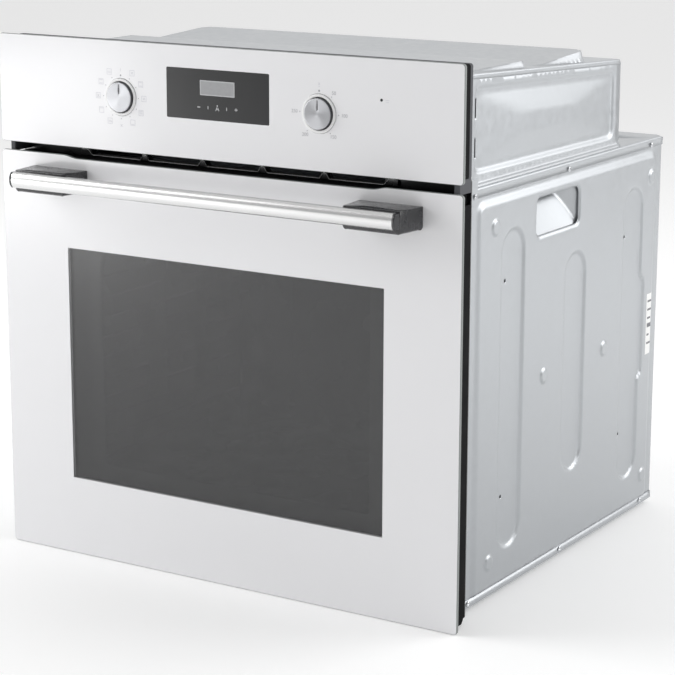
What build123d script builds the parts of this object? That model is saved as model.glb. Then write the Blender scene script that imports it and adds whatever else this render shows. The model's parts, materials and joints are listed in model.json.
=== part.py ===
"""Built-in wall oven, 600 mm niche size, in millimetres.

Row frame: +Z up, X to the right, +Y into the oven. The origin lies on the underside of the body, in
the middle of its width, in the plane where the front flange bears on the edge of the housing cabinet.
"""
import os
from math import cos, radians, sin

from build123d import *

# Front: control panel and door
FRONT_W = 595.0
FRONT_H = 595.0
GLASS_Y = -32.0          # outer face of both front glasses
GLASS_T = 4.0
GLASS_DROP = 4.5         # the door glass hangs this far below the body
PANEL_H = 121.0
FRONT_GAP = 9.7          # open strip between the control panel and the door
CORNER_R = 4.0
FRONT_X = FRONT_W / 2
FRONT_TOP = FRONT_H - GLASS_DROP
PANEL_Z = FRONT_TOP - PANEL_H
DOOR_TOP = PANEL_Z - FRONT_GAP
GLASS_BACK = GLASS_Y + GLASS_T
STRIP_X = 290.0          # outer face of the dark strips behind both glasses
TRIM_X = 286.0

# Cooling-air outlets in the gap over the door
VENT_PITCH = 78.0
VENT_HALF = 33.0
VENT_R = 3.5

# Body of sheet steel
SIDE_X = 274.0
SHEET = 1.0
PLATE = 1.2              # thicker sheet of the base, the roof and the grip scoops
FOLD_X = SIDE_X + SHEET + 0.1    # outer face of the folded edges
BODY_D = 506.0
BODY_H = 455.5
FLANGE_H = 10.5          # folded edges of the top and base panels over the side panels
FRAME_T = 1.5
GAP = 0.3

# Embossings of the side panels
FIELD = 3.0
BUMP = 2.0
FIELD_Y = (38.0, 491.0)
FIELD_Z = (11.5, 441.0)
FIELD_SLOPE = 9.0
RIB_W = 57.0
RIBS = ((120.0, 44.5, 404.0), (272.5, 93.5, 353.5), (425.5, 44.5, 404.5))
BUMPS = ((77, 408.5), (472, 409.5), (197, 223.5), (351, 223.5), (74, 40.5), (472, 39.5))
PIN_HOLES = ((105.8, 346.5), (405.6, 346.5), (105, 107), (405, 106.5), (27.6, 414), (27.6, 40.5))
GRIP_Y = (174.0, 278.0)
GRIP_Z = (383.5, 425.5)
GRIP_DEPTH = 25.0
GRIP_TOP = 437.0
SCREW_HOLE_R = 2.0

# Control housing on top of the body
HOUSE_X = 270.0
HOUSE_D = 390.0
HOUSE_FRONT_Z = 574.5
HOUSE_REAR_Z = 556.5
HOUSE_RECESS = 2.5
MOUTH_Y = (36.0, HOUSE_D - 16)      # recess of each side
HOUSE_SLOT_Y = (39.4, 41.2)
HOUSE_SLOTS = (485.5, 526.5)
HOUSE_SLOT_H = 20.0
LID_PADS = ((14, 167, 7.4), (190, 320, 13.5))    # start, end and height at the end
PAD_X = 264.0

# Control panel
DISPLAY_X = 66.0
DISPLAY_Z = (512.5, 566.5)
LAMP_DOT_X = 202.0
LAMP_DOT_Z = 548.5
TRAY_WALL = 2.5

# Cooking cavity
CAV_X = 235.0
CAV_Z = (60.0, 410.0)
CAV_D = 403.5
CAV_T = 1.5
RACK_PITCH = 24.0
RACK_WIRES = 13
RACK_Z = 88.0
RACK_Y = (12.0, 352.0)
RACK_UPRIGHT_R = 2.5
RACK_WIRE_R = 2.0
LAMP_X = 195.0
LAMP_Z = 372.0
ELEMENT_R = 3.3
GRILL_Z = 396.0
BOTTOM_ELEMENT_Z = 50.0
RING_HEATER_R = 88.0
RING_HEATER_Y = 388.0

# Door hinge
AXIS_Y = -20.0
AXIS_Z = 12.0
HINGE_X = 264.0
ARM_T = 4.0
PIN_R = 4.0
RUN = 0.05               # radial running clearance of every pin and shaft
FOOT_R = 17.5            # the foot of the door is rounded about the hinge axis
DOOR_BACK = -2.5
CHANNEL_X = (252.0, STRIP_X)
CHANNEL_WALL = 2.0
DOOR_FOOT = -1.0
PANE_X = 251.5
HANDLE_X = 247.0

# Control knobs
KNOB_X = 127.5
KNOB_Z = FRONT_TOP - 61.0
CAP_R = 16.5
BEZEL_R = 20.5
KNOB_FACE = GLASS_Y - 4.0
KNOB_BACK = -9.0
SHAFT_R = 3.0
SHAFT_FLAT = 2.0         # height of the flat above the shaft's centre

# Fans
FAN_Z = 235.0
FAN_Y = (379.0, 397.0)
FAN_R = 72.0
BLOWER_Y = 232.0
BLOWER_Z = 500.0
BLOWER_R = 30.0
BLOWER_X = 90.0
BLADE_T = 1.2
DUCT_X = 212.0


def block(x, y, z):
    """Box between two values on each axis."""
    size = Box(x[1] - x[0], y[1] - y[0], z[1] - z[0])
    return Pos((x[0] + x[1]) / 2, (y[0] + y[1]) / 2, (z[0] + z[1]) / 2) * size


def rod(start, end, radius):
    """Round bar between two points."""
    run = Vector(*end) - Vector(*start)
    low = (Align.CENTER, Align.CENTER, Align.MIN)
    return Plane(origin=start, z_dir=run) * Cylinder(radius, run.length, align=low)


def tube(start, end, outer, inner):
    """Round tube between two points."""
    return rod(start, end, outer) - rod(start, end, inner)


def group(*shapes):
    """Separate solids kept together in one node."""
    return Compound([solid for shape in shapes for solid in shape.solids()])


def both(shape):
    """A shape and its mirror image on the other side of the oven."""
    return group(shape, mirror(shape, about=Plane.YZ))


def plate_xz(x, y, z, radius):
    """Upright plate across the oven with rounded corners."""
    face = Pos((x[0] + x[1]) / 2, (z[0] + z[1]) / 2) * RectangleRounded(x[1] - x[0], z[1] - z[0], radius)
    return extrude(Plane.XZ.offset(-y[0]) * face, -(y[1] - y[0]))


def slice_yz(sketch, x):
    """Outline drawn in Y and Z, carried from one X to another."""
    return extrude(Plane.YZ.offset(x[0]) * sketch, x[1] - x[0])


def step_yz(low, high, x):
    """Sloped step between two outlines in Y and Z that lie at two values of X."""
    return loft([Plane.YZ.offset(x[0]) * low, Plane.YZ.offset(x[1]) * high], ruled=True)


def outline_yz(y, z, radius):
    """Rounded rectangle in Y and Z."""
    return Pos((y[0] + y[1]) / 2, (z[0] + z[1]) / 2) * RectangleRounded(y[1] - y[0], z[1] - z[0], radius)


def screw_sites():
    """Height and depth of the screws along each side of the body."""
    return [(y, z) for z in (6.5, BODY_H - 8.0) for y in (32.0, 251.0, 472.0)]


def screw_holes(radius):
    """Cutters for the side screws on the right-hand side."""
    return [rod((SIDE_X - 6, y, z), (SIDE_X + 6, y, z), radius) for y, z in screw_sites()]


# ---------------------------------------------------------------- body panels

def side_form():
    """Solid whose outer surface is the embossed face of the right side panel."""
    form = block((SIDE_X - 20, SIDE_X), (GAP, BODY_D), (1.6, BODY_H - 1.6))
    top_x = SIDE_X + FIELD
    low = outline_yz(FIELD_Y, (FIELD_Z[0] - 40, FIELD_Z[1]), 16)
    high = outline_yz((FIELD_Y[0] + FIELD_SLOPE, FIELD_Y[1] - FIELD_SLOPE),
                      (FIELD_Z[0] - 30, FIELD_Z[1] - FIELD_SLOPE), 10)
    field = step_yz(low, high, (SIDE_X - 0.01, top_x))
    field &= block((SIDE_X - 1, top_x + 1), FIELD_Y, (FIELD_Z[0], FIELD_Z[1]))
    form += field
    for middle, bottom, top in RIBS:
        centre = Pos(middle, (bottom + top) / 2)
        mouth = centre * Rot(0, 0, 90) * SlotOverall(top - bottom, RIB_W)
        floor = centre * Rot(0, 0, 90) * SlotOverall(top - bottom - 14, RIB_W - 14)
        form -= step_yz(floor, mouth, (SIDE_X, top_x + 0.01))
    for y, z in BUMPS:
        form += step_yz(Pos(y, z) * Circle(10), Pos(y, z) * Circle(7), (top_x - 0.01, top_x + BUMP))
    return form


def side_panel():
    """Right side panel: one pressed sheet with its grip opening and holes."""
    form = side_form()
    panel = form - Pos(-SHEET, 0, 0) * form
    panel &= block((SIDE_X - 5, SIDE_X + 10), (GAP, BODY_D), (1.6, BODY_H - 1.6))
    panel -= slice_yz(outline_yz(GRIP_Y, GRIP_Z, 8), (SIDE_X - 5, SIDE_X + 8))
    for y, z in PIN_HOLES:
        panel -= rod((SIDE_X - 5, y, z), (SIDE_X + 8, y, z), SCREW_HOLE_R)
    for hole in screw_holes(SCREW_HOLE_R):
        panel -= hole
    return panel


def grip_cup():
    """Scoop behind the grip opening, open towards the outside."""
    face = SIDE_X - SHEET - 0.1
    back = face - GRIP_DEPTH

    def scoop(grow, sides):
        """Profile in X and Z: a curved floor that rises to the back wall."""
        low = (face, GRIP_Z[0] - grow)
        rise = (back - grow, GRIP_Z[0] + 30)
        bend = (face - 0.72 * GRIP_DEPTH, GRIP_Z[0] + 7 - grow)
        curve = ThreePointArc(low, bend, rise)
        rest = Polyline(rise, (back - grow, GRIP_TOP + grow), (face, GRIP_TOP + grow), low)
        profile = make_face([curve, rest])
        return extrude(Plane.XZ.offset(-(GRIP_Y[0] - sides)) * profile,
                       -(GRIP_Y[1] - GRIP_Y[0] + 2 * sides))

    return scoop(PLATE, PLATE) - scoop(0, 0)


def base_panel():
    """Flat base with its two edges folded up outside the side panels."""
    panel = block((-FOLD_X, FOLD_X), (0, BODY_D), (0, PLATE))
    for side in (-1, 1):
        low, high = sorted((side * (FOLD_X - SHEET), side * FOLD_X))
        panel += block((low, high), (0, BODY_D), (0, FLANGE_H))
    for row in range(6):
        slot = Pos(0, 130 + 50 * row, 0) * extrude(SlotOverall(150, 8), 3)
        panel -= Pos(0, 0, -1) * slot
    for hole in screw_holes(SCREW_HOLE_R):
        panel -= hole
        panel -= mirror(hole, about=Plane.YZ)
    return panel


def top_panel():
    """Roof of the body with its two edges folded down outside the side panels."""
    panel = block((-FOLD_X, FOLD_X), (GAP, BODY_D), (BODY_H - PLATE, BODY_H))
    for side in (-1, 1):
        low, high = sorted((side * (FOLD_X - SHEET), side * FOLD_X))
        panel += block((low, high), (18, BODY_D), (BODY_H - FLANGE_H, BODY_H))
    panel -= rod((238, 452, BODY_H - 3), (238, 452, BODY_H + 3), 4)
    for hole in screw_holes(SCREW_HOLE_R):
        panel -= hole
        panel -= mirror(hole, about=Plane.YZ)
    return panel


def back_panel():
    """Rear wall with a raised field and rows of cooling slots."""
    inner = BODY_D - SHEET - 1.0
    wide = (-(SIDE_X - 1.2), SIDE_X - 1.2)
    tall = (1.5, BODY_H - 1.5)
    panel = block(wide, (inner - SHEET, inner), tall)
    field = plate_xz((-215, 215), (inner - SHEET - 5, inner + 1.8), (50, 405), 25)
    hollow = plate_xz((-213, 213), (inner - SHEET - 6, inner + 0.8), (52, 403), 23)
    panel = (panel + (field - hollow)) & block(wide, (inner - SHEET, BODY_D), tall)
    panel -= plate_xz((-213, 213), (inner - SHEET - 1, inner + 0.8), (52, 403), 23)
    for column in (-1, 1):
        for row in range(9):
            z = 120 + 26 * row
            slot = plate_xz((column * 110 - 55, column * 110 + 55), (inner - 5, BODY_D + 2), (z, z + 6), 2.9)
            panel -= slot
    return panel


def housing_bracket():
    """Small plate that ties the front end of the right side together."""
    x = SIDE_X + SHEET + 0.2
    plate = block((x, x + 0.8), (12, 38), (BODY_H - 16, BODY_H + 10))
    for hole in screw_holes(SCREW_HOLE_R):
        plate -= Pos(2, 0, 0) * hole
    return plate


def body_screws():
    """Pan-head screws along both sides of the body."""
    heads = []
    for y, z in screw_sites():
        front_top = y < 40 and z > 100
        seat = SIDE_X + SHEET + (1.1 if front_top else 0.2)
        shank = rod((SIDE_X - 4, y, z), (seat + 0.5, y, z), 1.9)
        head = rod((seat, y, z), (seat + 2, y, z), 3.2)
        slot = block((seat + 1.2, seat + 3), (y - 0.5, y + 0.5), (z - 2.2, z + 2.2))
        heads.append(shank + head - slot)
    return both(group(*heads))


def vent_places():
    """Middles of the five outlets for the cooling air."""
    return [VENT_PITCH * count for count in range(-2, 3)]


def front_frame():
    """Enamelled front frame round the mouth of the cavity, with its flange for the housing cabinet."""
    frame = plate_xz((-STRIP_X, STRIP_X), (-FRAME_T, 0), (3, PANEL_Z + 2), 3)
    frame -= plate_xz((-CAV_X, CAV_X), (-5, 5), CAV_Z, 14)
    for side in (-1, 1):
        x = side * HINGE_X
        frame -= block((x - 3.5, x + 3.5), (-5, 5), (4.5, 20.5))
        for z in (100, 370):
            frame -= rod((side * 284, -5, z), (side * 284, 5, z), 2.5)
    for x in vent_places():
        frame -= plate_xz((x - VENT_HALF, x + VENT_HALF), (-5, 5), (DOOR_TOP - 0.5, PANEL_Z - 2), VENT_R)
    return frame


def vent_louvre():
    """Pressed strip in the gap over the door, with five outlets for the cooling air."""
    y = (-FRAME_T - 3.3, -FRAME_T - 0.3)
    strip = plate_xz((-206, 206), y, (DOOR_TOP - 2.6, PANEL_Z + 2.2), 3)
    for x in vent_places():
        strip -= plate_xz((x - VENT_HALF, x + VENT_HALF), (y[0] - 1, y[1] + 1),
                          (DOOR_TOP + 0.5, PANEL_Z - 1), VENT_R)
    return strip


# ---------------------------------------------------------------- control housing

def cover_z(y):
    """Height of the sloping roof line of the control housing."""
    return HOUSE_FRONT_Z + (HOUSE_REAR_Z - HOUSE_FRONT_Z) * y / HOUSE_D


def housing_side():
    """Right side of the control housing, with a recessed field and two slots at the front of the field."""
    low = BODY_H + GAP
    drop = 1.4
    edge = Polyline((GAP, low), (HOUSE_D, low), (HOUSE_D, cover_z(HOUSE_D) - drop),
                    (GAP, cover_z(0) - drop), close=True)
    start, end = MOUTH_Y
    mouth = make_face(Polyline((start, low + 14), (end, low + 12), (end, cover_z(HOUSE_D) - 12),
                               (start, cover_z(start) - 14), close=True))
    form = slice_yz(make_face(edge), (HOUSE_X - 12, HOUSE_X))
    form -= step_yz(offset(mouth, amount=-3), mouth, (HOUSE_X - HOUSE_RECESS, HOUSE_X + 0.01))
    side = form - Pos(-SHEET, 0, 0) * form
    side &= block((HOUSE_X - 6, HOUSE_X + 1), (0, HOUSE_D), (low, HOUSE_FRONT_Z))
    for z in HOUSE_SLOTS:
        side -= block((HOUSE_X - 8, HOUSE_X + 1), HOUSE_SLOT_Y, (z, z + HOUSE_SLOT_H))
    return side


def housing_back():
    """Rear wall of the control housing with a row of air inlets."""
    half = HOUSE_X - 1.3
    wall = block((-half, half), (HOUSE_D - 1.2, HOUSE_D), (BODY_H + GAP, HOUSE_REAR_Z - 1.5))
    for count in range(12):
        x = -231 + 42 * count
        wall -= plate_xz((x - 15, x + 15), (HOUSE_D - 3, HOUSE_D + 2), (495, 501), 2.9)
        wall -= plate_xz((x - 15, x + 15), (HOUSE_D - 3, HOUSE_D + 2), (515, 521), 2.9)
    return wall


def top_cover():
    """Sloping lid of the control housing with two level pads pressed up from it."""
    x = (-HOUSE_X, HOUSE_X)
    lid = make_face(Polyline((GAP, 540), (HOUSE_D, 540), (HOUSE_D, cover_z(HOUSE_D)), (GAP, cover_z(0)),
                             close=True))
    form = slice_yz(lid, x)
    for start, end, rise in LID_PADS:
        pad = make_face(Polyline((start, cover_z(start)), (end - 3, cover_z(end) + rise),
                                 (end, cover_z(end)), (end, 542), (start, 542), close=True))
        form += slice_yz(pad, (-PAD_X, PAD_X))
    cover = form - Pos(0, 0, -SHEET) * form
    return cover & block(x, (GAP, HOUSE_D), (550, 600))


def knob_places():
    """Centres of the two controls on the panel."""
    return (-KNOB_X, KNOB_X)


def lamp_dot(y, radius):
    """Round light guide of the indicator, or the cutter for its hole."""
    return rod((LAMP_DOT_X, y[0], LAMP_DOT_Z), (LAMP_DOT_X, y[1], LAMP_DOT_Z), radius)


def control_panel_glass():
    """White glass of the control panel, bored for the two controls and the indicator."""
    glass = plate_xz((-FRONT_X, FRONT_X), (GLASS_Y, GLASS_BACK), (PANEL_Z, FRONT_TOP), CORNER_R)
    for x in knob_places():
        glass -= rod((x, GLASS_Y - 1, KNOB_Z), (x, GLASS_BACK + 1, KNOB_Z), BEZEL_R + GAP)
    return glass - lamp_dot((GLASS_Y - 1, GLASS_BACK + 1), 1.6)


def control_panel_tray():
    """Moulded tray that carries the panel glass, open at the back."""
    z = (PANEL_Z + 2.5, FRONT_TOP - 2.5)
    y = (GLASS_BACK + 0.1, -FRAME_T - GAP)
    wall = TRAY_WALL
    tray = plate_xz((-STRIP_X, STRIP_X), y, z, 3)
    tray -= plate_xz((-STRIP_X + wall, STRIP_X - wall), (y[0] + 2.8, y[1] + 1), (z[0] + wall, z[1] - wall), 2)
    for x in knob_places():
        tray -= rod((x, y[0] - 1, KNOB_Z), (x, y[0] + 5, KNOB_Z), BEZEL_R + GAP)
    tray -= block((-DISPLAY_X - 0.5, DISPLAY_X + 0.5), (y[0] - 1, y[0] + 5),
                  (DISPLAY_Z[0] - 0.5, DISPLAY_Z[1] + 0.5))
    return tray - lamp_dot((y[0] - 1, y[0] + 5), 1.6)


def display_module():
    """Clock display and its circuit board, close behind the glass."""
    board_y = GLASS_BACK + 11
    case = block((-DISPLAY_X, DISPLAY_X), (GLASS_BACK + 0.2, board_y), DISPLAY_Z)
    board = block((-DISPLAY_X - 12, DISPLAY_X + 12), (board_y, board_y + 1.6),
                  (DISPLAY_Z[0] - 7.5, DISPLAY_Z[1] + 7.5))
    return case + board


def knob_bezel(x):
    """Ring that guides one pop-out knob through the panel."""
    return tube((x, GLASS_Y - 1.4, KNOB_Z), (x, -18, KNOB_Z), BEZEL_R, CAP_R + 0.8)


def switch_body(x, half):
    """Body of a rotary control, with a bush for its shaft."""
    body = block((x - half, x + half), (KNOB_BACK + 2, 24), (KNOB_Z - half, KNOB_Z + half))
    return body - rod((x, KNOB_BACK, KNOB_Z), (x, 15, KNOB_Z), SHAFT_R + RUN)


def flatted_bar(x, y, grow):
    """Round bar along Y with a flat on its upper side, so that what fits it turns with it."""
    bar = rod((x, y[0], KNOB_Z), (x, y[1], KNOB_Z), SHAFT_R + grow)
    return bar - block((x - 5, x + 5), (y[0] - 1, y[1] + 1), (KNOB_Z + SHAFT_FLAT + grow, KNOB_Z + 6))


def control_shaft(x):
    """Shaft that turns in a rotary control, with a flat where it carries its knob."""
    return flatted_bar(x, (KNOB_FACE + 3.5, -3), 0) + rod((x, -3, KNOB_Z), (x, 14.8, KNOB_Z), SHAFT_R)


def control_knob(x):
    """Hollow pop-out knob that slides on its shaft, with a pointer groove at the top of its face."""
    face = KNOB_FACE
    knob = rod((x, face, KNOB_Z), (x, KNOB_BACK, KNOB_Z), CAP_R)
    knob -= tube((x, face + 3, KNOB_Z), (x, KNOB_BACK + 1, KNOB_Z), CAP_R - 2, SHAFT_R + 3.5)
    knob -= flatted_bar(x, (face + 3, KNOB_BACK + 1), RUN)
    return knob - block((x - 0.6, x + 0.6), (face - 1, face + 0.7), (KNOB_Z + 5, KNOB_Z + 14))


# ---------------------------------------------------------------- cavity

def cavity_walls():
    """Five enamelled walls of the cavity."""
    out_x = CAV_X + CAV_T
    low, high = CAV_Z
    side = block((CAV_X, out_x), (GAP, CAV_D), (low, high))
    roof = block((-out_x, out_x), (GAP, CAV_D), (high, high + CAV_T))
    floor = block((-out_x, out_x), (GAP, CAV_D), (low - CAV_T, low))
    back = block((-out_x, out_x), (CAV_D, CAV_D + CAV_T), (low - CAV_T, high + CAV_T))
    back -= rod((0, CAV_D - 1, FAN_Z), (0, CAV_D + 3, FAN_Z), 8)
    back -= rod((LAMP_X, CAV_D - 1, LAMP_Z), (LAMP_X, CAV_D + 3, LAMP_Z), 16.5)
    return {"cavity_left": mirror(side, about=Plane.YZ), "cavity_right": side, "cavity_roof": roof,
            "cavity_floor": floor, "cavity_back": back}


def insulation():
    """Glass-wool blankets round the cavity."""
    low, high = CAV_Z
    side = block((CAV_X + 3, CAV_X + 26), (8, 402), (40, 440))
    side -= block((CAV_X + 9, CAV_X + 30), (GRIP_Y[0] - 6, GRIP_Y[1] + 6), (GRIP_Z[0] - 6, 442))
    top = block((-CAV_X, CAV_X), (8, 402), (high + CAV_T + 0.5, high + 30))
    bottom = block((-CAV_X, CAV_X), (8, 402), (18, 42))
    back = block((-CAV_X, CAV_X), (CAV_D + 3, CAV_D + 26), (low, high))
    back -= rod((0, CAV_D, FAN_Z), (0, CAV_D + 30, FAN_Z), 14)
    back -= rod((LAMP_X, CAV_D, LAMP_Z), (LAMP_X, CAV_D + 30, LAMP_Z), 20)
    return group(side, mirror(side, about=Plane.YZ), top, bottom, back)


def door_gasket():
    """Heat-proof seal round the mouth of the cavity."""
    y = (-7.6, -FRAME_T - 0.02)
    outer = plate_xz((-CAV_X - 10, CAV_X + 10), y, (CAV_Z[0] - 10, CAV_Z[1] + 10), 22)
    return outer - plate_xz((-CAV_X - 3, CAV_X + 3), (-9, 0), (CAV_Z[0] - 3, CAV_Z[1] + 3), 15)


def side_rack():
    """Right-hand chrome wire rack: uprights with level wires welded on their inner side."""
    x = CAV_X - 1.5 - RACK_UPRIGHT_R
    wire_x = x - RACK_UPRIGHT_R - RACK_WIRE_R
    wires = []
    for y in (RACK_Y[0] + 8, (RACK_Y[0] + RACK_Y[1]) / 2, RACK_Y[1] - 8):
        wires.append(rod((x, y, CAV_Z[0] + 12), (x, y, CAV_Z[1] - 16), RACK_UPRIGHT_R))
    for count in range(RACK_WIRES):
        z = RACK_Z + RACK_PITCH * count
        wires.append(rod((wire_x, RACK_Y[0], z), (wire_x, RACK_Y[1], z), RACK_WIRE_R))
    return group(*wires)


def fan_cover():
    """Tray over the fan at the back of the cavity, with an intake grille and side outlets."""
    y = (366.0, CAV_D - 0.1)
    cover = plate_xz((-165, 165), y, (95, 375), 12)
    cover -= plate_xz((-163.5, 163.5), (y[0] + 1.5, y[1] + 1), (96.5, 373.5), 11)
    for ring, count in ((14, 6), (30, 12), (46, 18)):
        for step in range(count):
            turn = radians(360 * step / count)
            x, z = ring * cos(turn), FAN_Z + ring * sin(turn)
            cover -= rod((x, y[0] - 1, z), (x, y[0] + 3, z), 4)
    for side in (-1, 1):
        for step in range(5):
            z = 135 + 45 * step
            low, high = sorted((side * 160, side * 170))
            cover -= block((low, high), (378, 396), (z, z + 24))
    return cover


def fan_impeller():
    """Convection fan: hub disc, eight blades and the motor shaft in one piece."""
    disc = rod((0, FAN_Y[1] - 1.5, FAN_Z), (0, FAN_Y[1], FAN_Z), FAN_R)
    wheel = disc + rod((0, FAN_Y[0] + 2, FAN_Z), (0, FAN_Y[1], FAN_Z), 9)
    for count in range(8):
        blade = block((24, FAN_R - 2), (FAN_Y[0], FAN_Y[1] - 1), (-0.75, 0.75))
        wheel += Pos(0, 0, FAN_Z) * Rot(0, 45 * count + 10, 0) * blade
    return wheel + rod((0, FAN_Y[1] - 2, FAN_Z), (0, 468, FAN_Z), 4)


def fan_motor():
    """Motor of the convection fan behind the cavity."""
    body = rod((0, 433, FAN_Z), (0, 480, FAN_Z), 34)
    body += block((-60, 60), (431, 433), (FAN_Z - 12, FAN_Z + 12))
    return body - rod((0, 430, FAN_Z), (0, 469, FAN_Z), 4 + RUN)


def bent_tube(points, radius, bend):
    """Heating element: a round bar along straight runs with bent corners."""
    path = FilletPolyline(*points, radius=bend)
    start = Plane(origin=path @ 0, z_dir=path % 0)
    return sweep(start * Circle(radius), path)


def grill_element():
    """Serpentine grill element under the roof of the cavity, on its terminal flange."""
    z = GRILL_Z
    rear = CAV_D - 1.6
    points = [(-30, rear, z), (-30, 330, z), (-170, 330, z), (-170, 70, z), (-100, 70, z), (-100, 280, z),
              (-35, 280, z), (-35, 70, z), (35, 70, z), (35, 280, z), (100, 280, z), (100, 70, z),
              (170, 70, z), (170, 330, z), (30, 330, z), (30, rear, z)]
    flange = block((-45, 45), (rear, CAV_D - 0.1), (z - 10, z + 10))
    return bent_tube(points, ELEMENT_R, 20) + flange


def bottom_element():
    """Lower heating element under the floor of the cavity."""
    z = BOTTOM_ELEMENT_Z
    points = [(-25, 398, z), (-25, 330, z), (-160, 330, z), (-160, 60, z), (160, 60, z), (160, 330, z),
              (25, 330, z), (25, 398, z)]
    return bent_tube(points, ELEMENT_R, 22) + block((-40, 40), (398, 400), (z - 6, z + 6))


def ring_heater():
    """Ring element round the convection fan."""
    ring = Pos(0, RING_HEATER_Y, FAN_Z) * Rot(90, 0, 0) * Torus(RING_HEATER_R, ELEMENT_R)
    z = FAN_Z + RING_HEATER_R - 0.8
    for x in (-12, 12):
        ring += rod((x, RING_HEATER_Y, z), (x, CAV_D - 0.1, z), 3.0)
    return ring


def lamp_parts():
    """Oven lamp in the back wall: holder, bulb and glass cover."""
    x, z = LAMP_X, LAMP_Z
    holder = rod((x, CAV_D + CAV_T + 0.1, z), (x, 448, z), 18)
    holder -= rod((x, CAV_D, z), (x, 436, z), 16)
    bulb = rod((x, 398, z), (x, 422, z), 9) + rod((x, 421, z), (x, 435.9, z), 6)
    lens = rod((x, 390, z), (x, CAV_D - 0.1, z), 22)
    lens = fillet(lens.faces().sort_by(Axis.Y)[0].edges(), 8)
    lens -= rod((x, 393, z), (x, CAV_D, z), 17)
    return {"lamp_holder": holder, "lamp_bulb": bulb, "lamp_lens": lens}


# ---------------------------------------------------------------- cooling blower and wiring

def blower_housing():
    """Scroll of the cross-flow cooling blower, with its outlet towards the front."""
    y, z = BLOWER_Y, BLOWER_Z
    end = BLOWER_X + 5
    shell = block((-end, end), (y - 42, y + 42), (BODY_H + GAP, z + 42))
    inner = (-BLOWER_X - 1, BLOWER_X + 1)
    shell -= rod((inner[0], y, z), (inner[1], y, z), BLOWER_R + 5)
    shell -= block(inner, (y - 60, y), (BODY_H + 3, BODY_H + 24))
    shell -= block(inner, (y - 18, y + 18), (z, z + 60))
    return shell - rod((-end - 1, y, z), (end + 1, y, z), SHAFT_R + RUN)


def blower_impeller():
    """Squirrel-cage rotor of the cooling blower on its shaft."""
    y, z = BLOWER_Y, BLOWER_Z
    rotor = rod((-BLOWER_X - 4, y, z), (BLOWER_X + 40, y, z), SHAFT_R)
    for x in (-BLOWER_X, -1, BLOWER_X - 2):
        rotor += rod((x, y, z), (x + 2, y, z), BLOWER_R)
    blade = block((-BLOWER_X + 1, BLOWER_X - 1), (BLOWER_R - 7, BLOWER_R - 0.5), (-BLADE_T / 2, BLADE_T / 2))
    for count in range(18):
        rotor += Pos(0, y, z) * Rot(20 * count, 0, 0) * blade
    return rotor


def blower_motor():
    """Motor beside the blower."""
    y, z = BLOWER_Y, BLOWER_Z
    body = rod((BLOWER_X + 6, y, z), (BLOWER_X + 44, y, z), 26)
    body += block((BLOWER_X + 8, BLOWER_X + 42), (y - 16, y + 16), (BODY_H + GAP, z))
    return body - rod((BLOWER_X, y, z), (BLOWER_X + 41, y, z), SHAFT_R + RUN)


def air_duct():
    """Hood that leads the cooling air from the blower to the outlets over the door."""
    y = (GAP, BLOWER_Y - 42.3)
    z = (BODY_H + GAP, BODY_H + 19)
    hood = block((-DUCT_X, DUCT_X), y, z)
    return hood - block((-DUCT_X + SHEET, DUCT_X - SHEET), (y[0] - 1, y[1] + 1), (z[0] - 1, z[1] - SHEET))


def terminal_block():
    """Connection box behind the control housing, with a bored inlet for the supply cable."""
    box = block((-235, -165), (HOUSE_D + 8, HOUSE_D + 80), (BODY_H + GAP, BODY_H + 32))
    box -= block((-232, -168), (HOUSE_D + 11, HOUSE_D + 68), (BODY_H + 3, BODY_H + 29))
    return box - rod((-200, HOUSE_D + 60, BODY_H + 16), (-200, HOUSE_D + 82, BODY_H + 16), 5.5)


# ---------------------------------------------------------------- hinges

def hinge_receiver():
    """Right-hand bracket behind the front frame that holds a hinge arm."""
    cheeks = [block((x, x + 2.4), (GAP, 66), (3, 26)) for x in (HINGE_X - 5.0, HINGE_X + 2.6)]
    return group(cheeks[0] + cheeks[1] + block((HINGE_X - 5, HINGE_X + 5), (GAP, 66), (3, 5)))


def hinge_arm():
    """Right-hand hinge arm: hooked in the receiver, bored for the pin of the door."""
    x = (HINGE_X - ARM_T / 2, HINGE_X + ARM_T / 2)
    arm = block(x, (AXIS_Y, 58), (AXIS_Z - 5.5, AXIS_Z + 5.5))
    arm += rod((x[0], AXIS_Y, AXIS_Z), (x[1], AXIS_Y, AXIS_Z), 7.2)
    return arm - rod((x[0] - 1, AXIS_Y, AXIS_Z), (x[1] + 1, AXIS_Y, AXIS_Z), PIN_R + RUN)


def hinge_cassette():
    """Right-hand hinge casing inside the door: two cheeks joined at the top by a web."""
    y = (GLASS_BACK + 1.2, -7.0)
    cheek = (HINGE_X - 5.2, HINGE_X - 2.7)
    casing = block(cheek, y, (AXIS_Z - 6, 190))
    casing += block((HINGE_X + 2.7, HINGE_X + 5.2), y, (AXIS_Z - 6, 190))
    casing += block((cheek[0], HINGE_X + 5.2), y, (150, 153))
    casing -= rod((HINGE_X - 9, AXIS_Y, AXIS_Z), (HINGE_X + 9, AXIS_Y, AXIS_Z), PIN_R + 0.02)
    return casing


def hinge_pin():
    """Right-hand hinge pin, fixed in the casing."""
    return rod((HINGE_X - 6, AXIS_Y, AXIS_Z), (HINGE_X + 6, AXIS_Y, AXIS_Z), PIN_R)


# ---------------------------------------------------------------- door

def door_outer_glass():
    """Front glass of the door, with a shallow dip along the middle of its top edge."""
    glass = plate_xz((-FRONT_X, FRONT_X), (GLASS_Y, GLASS_BACK), (-GLASS_DROP, DOOR_TOP), CORNER_R)
    dip = plate_xz((-205, 205), (GLASS_Y - 1, GLASS_BACK + 1), (DOOR_TOP - 3, DOOR_TOP + 30), 3)
    return glass - dip


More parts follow.
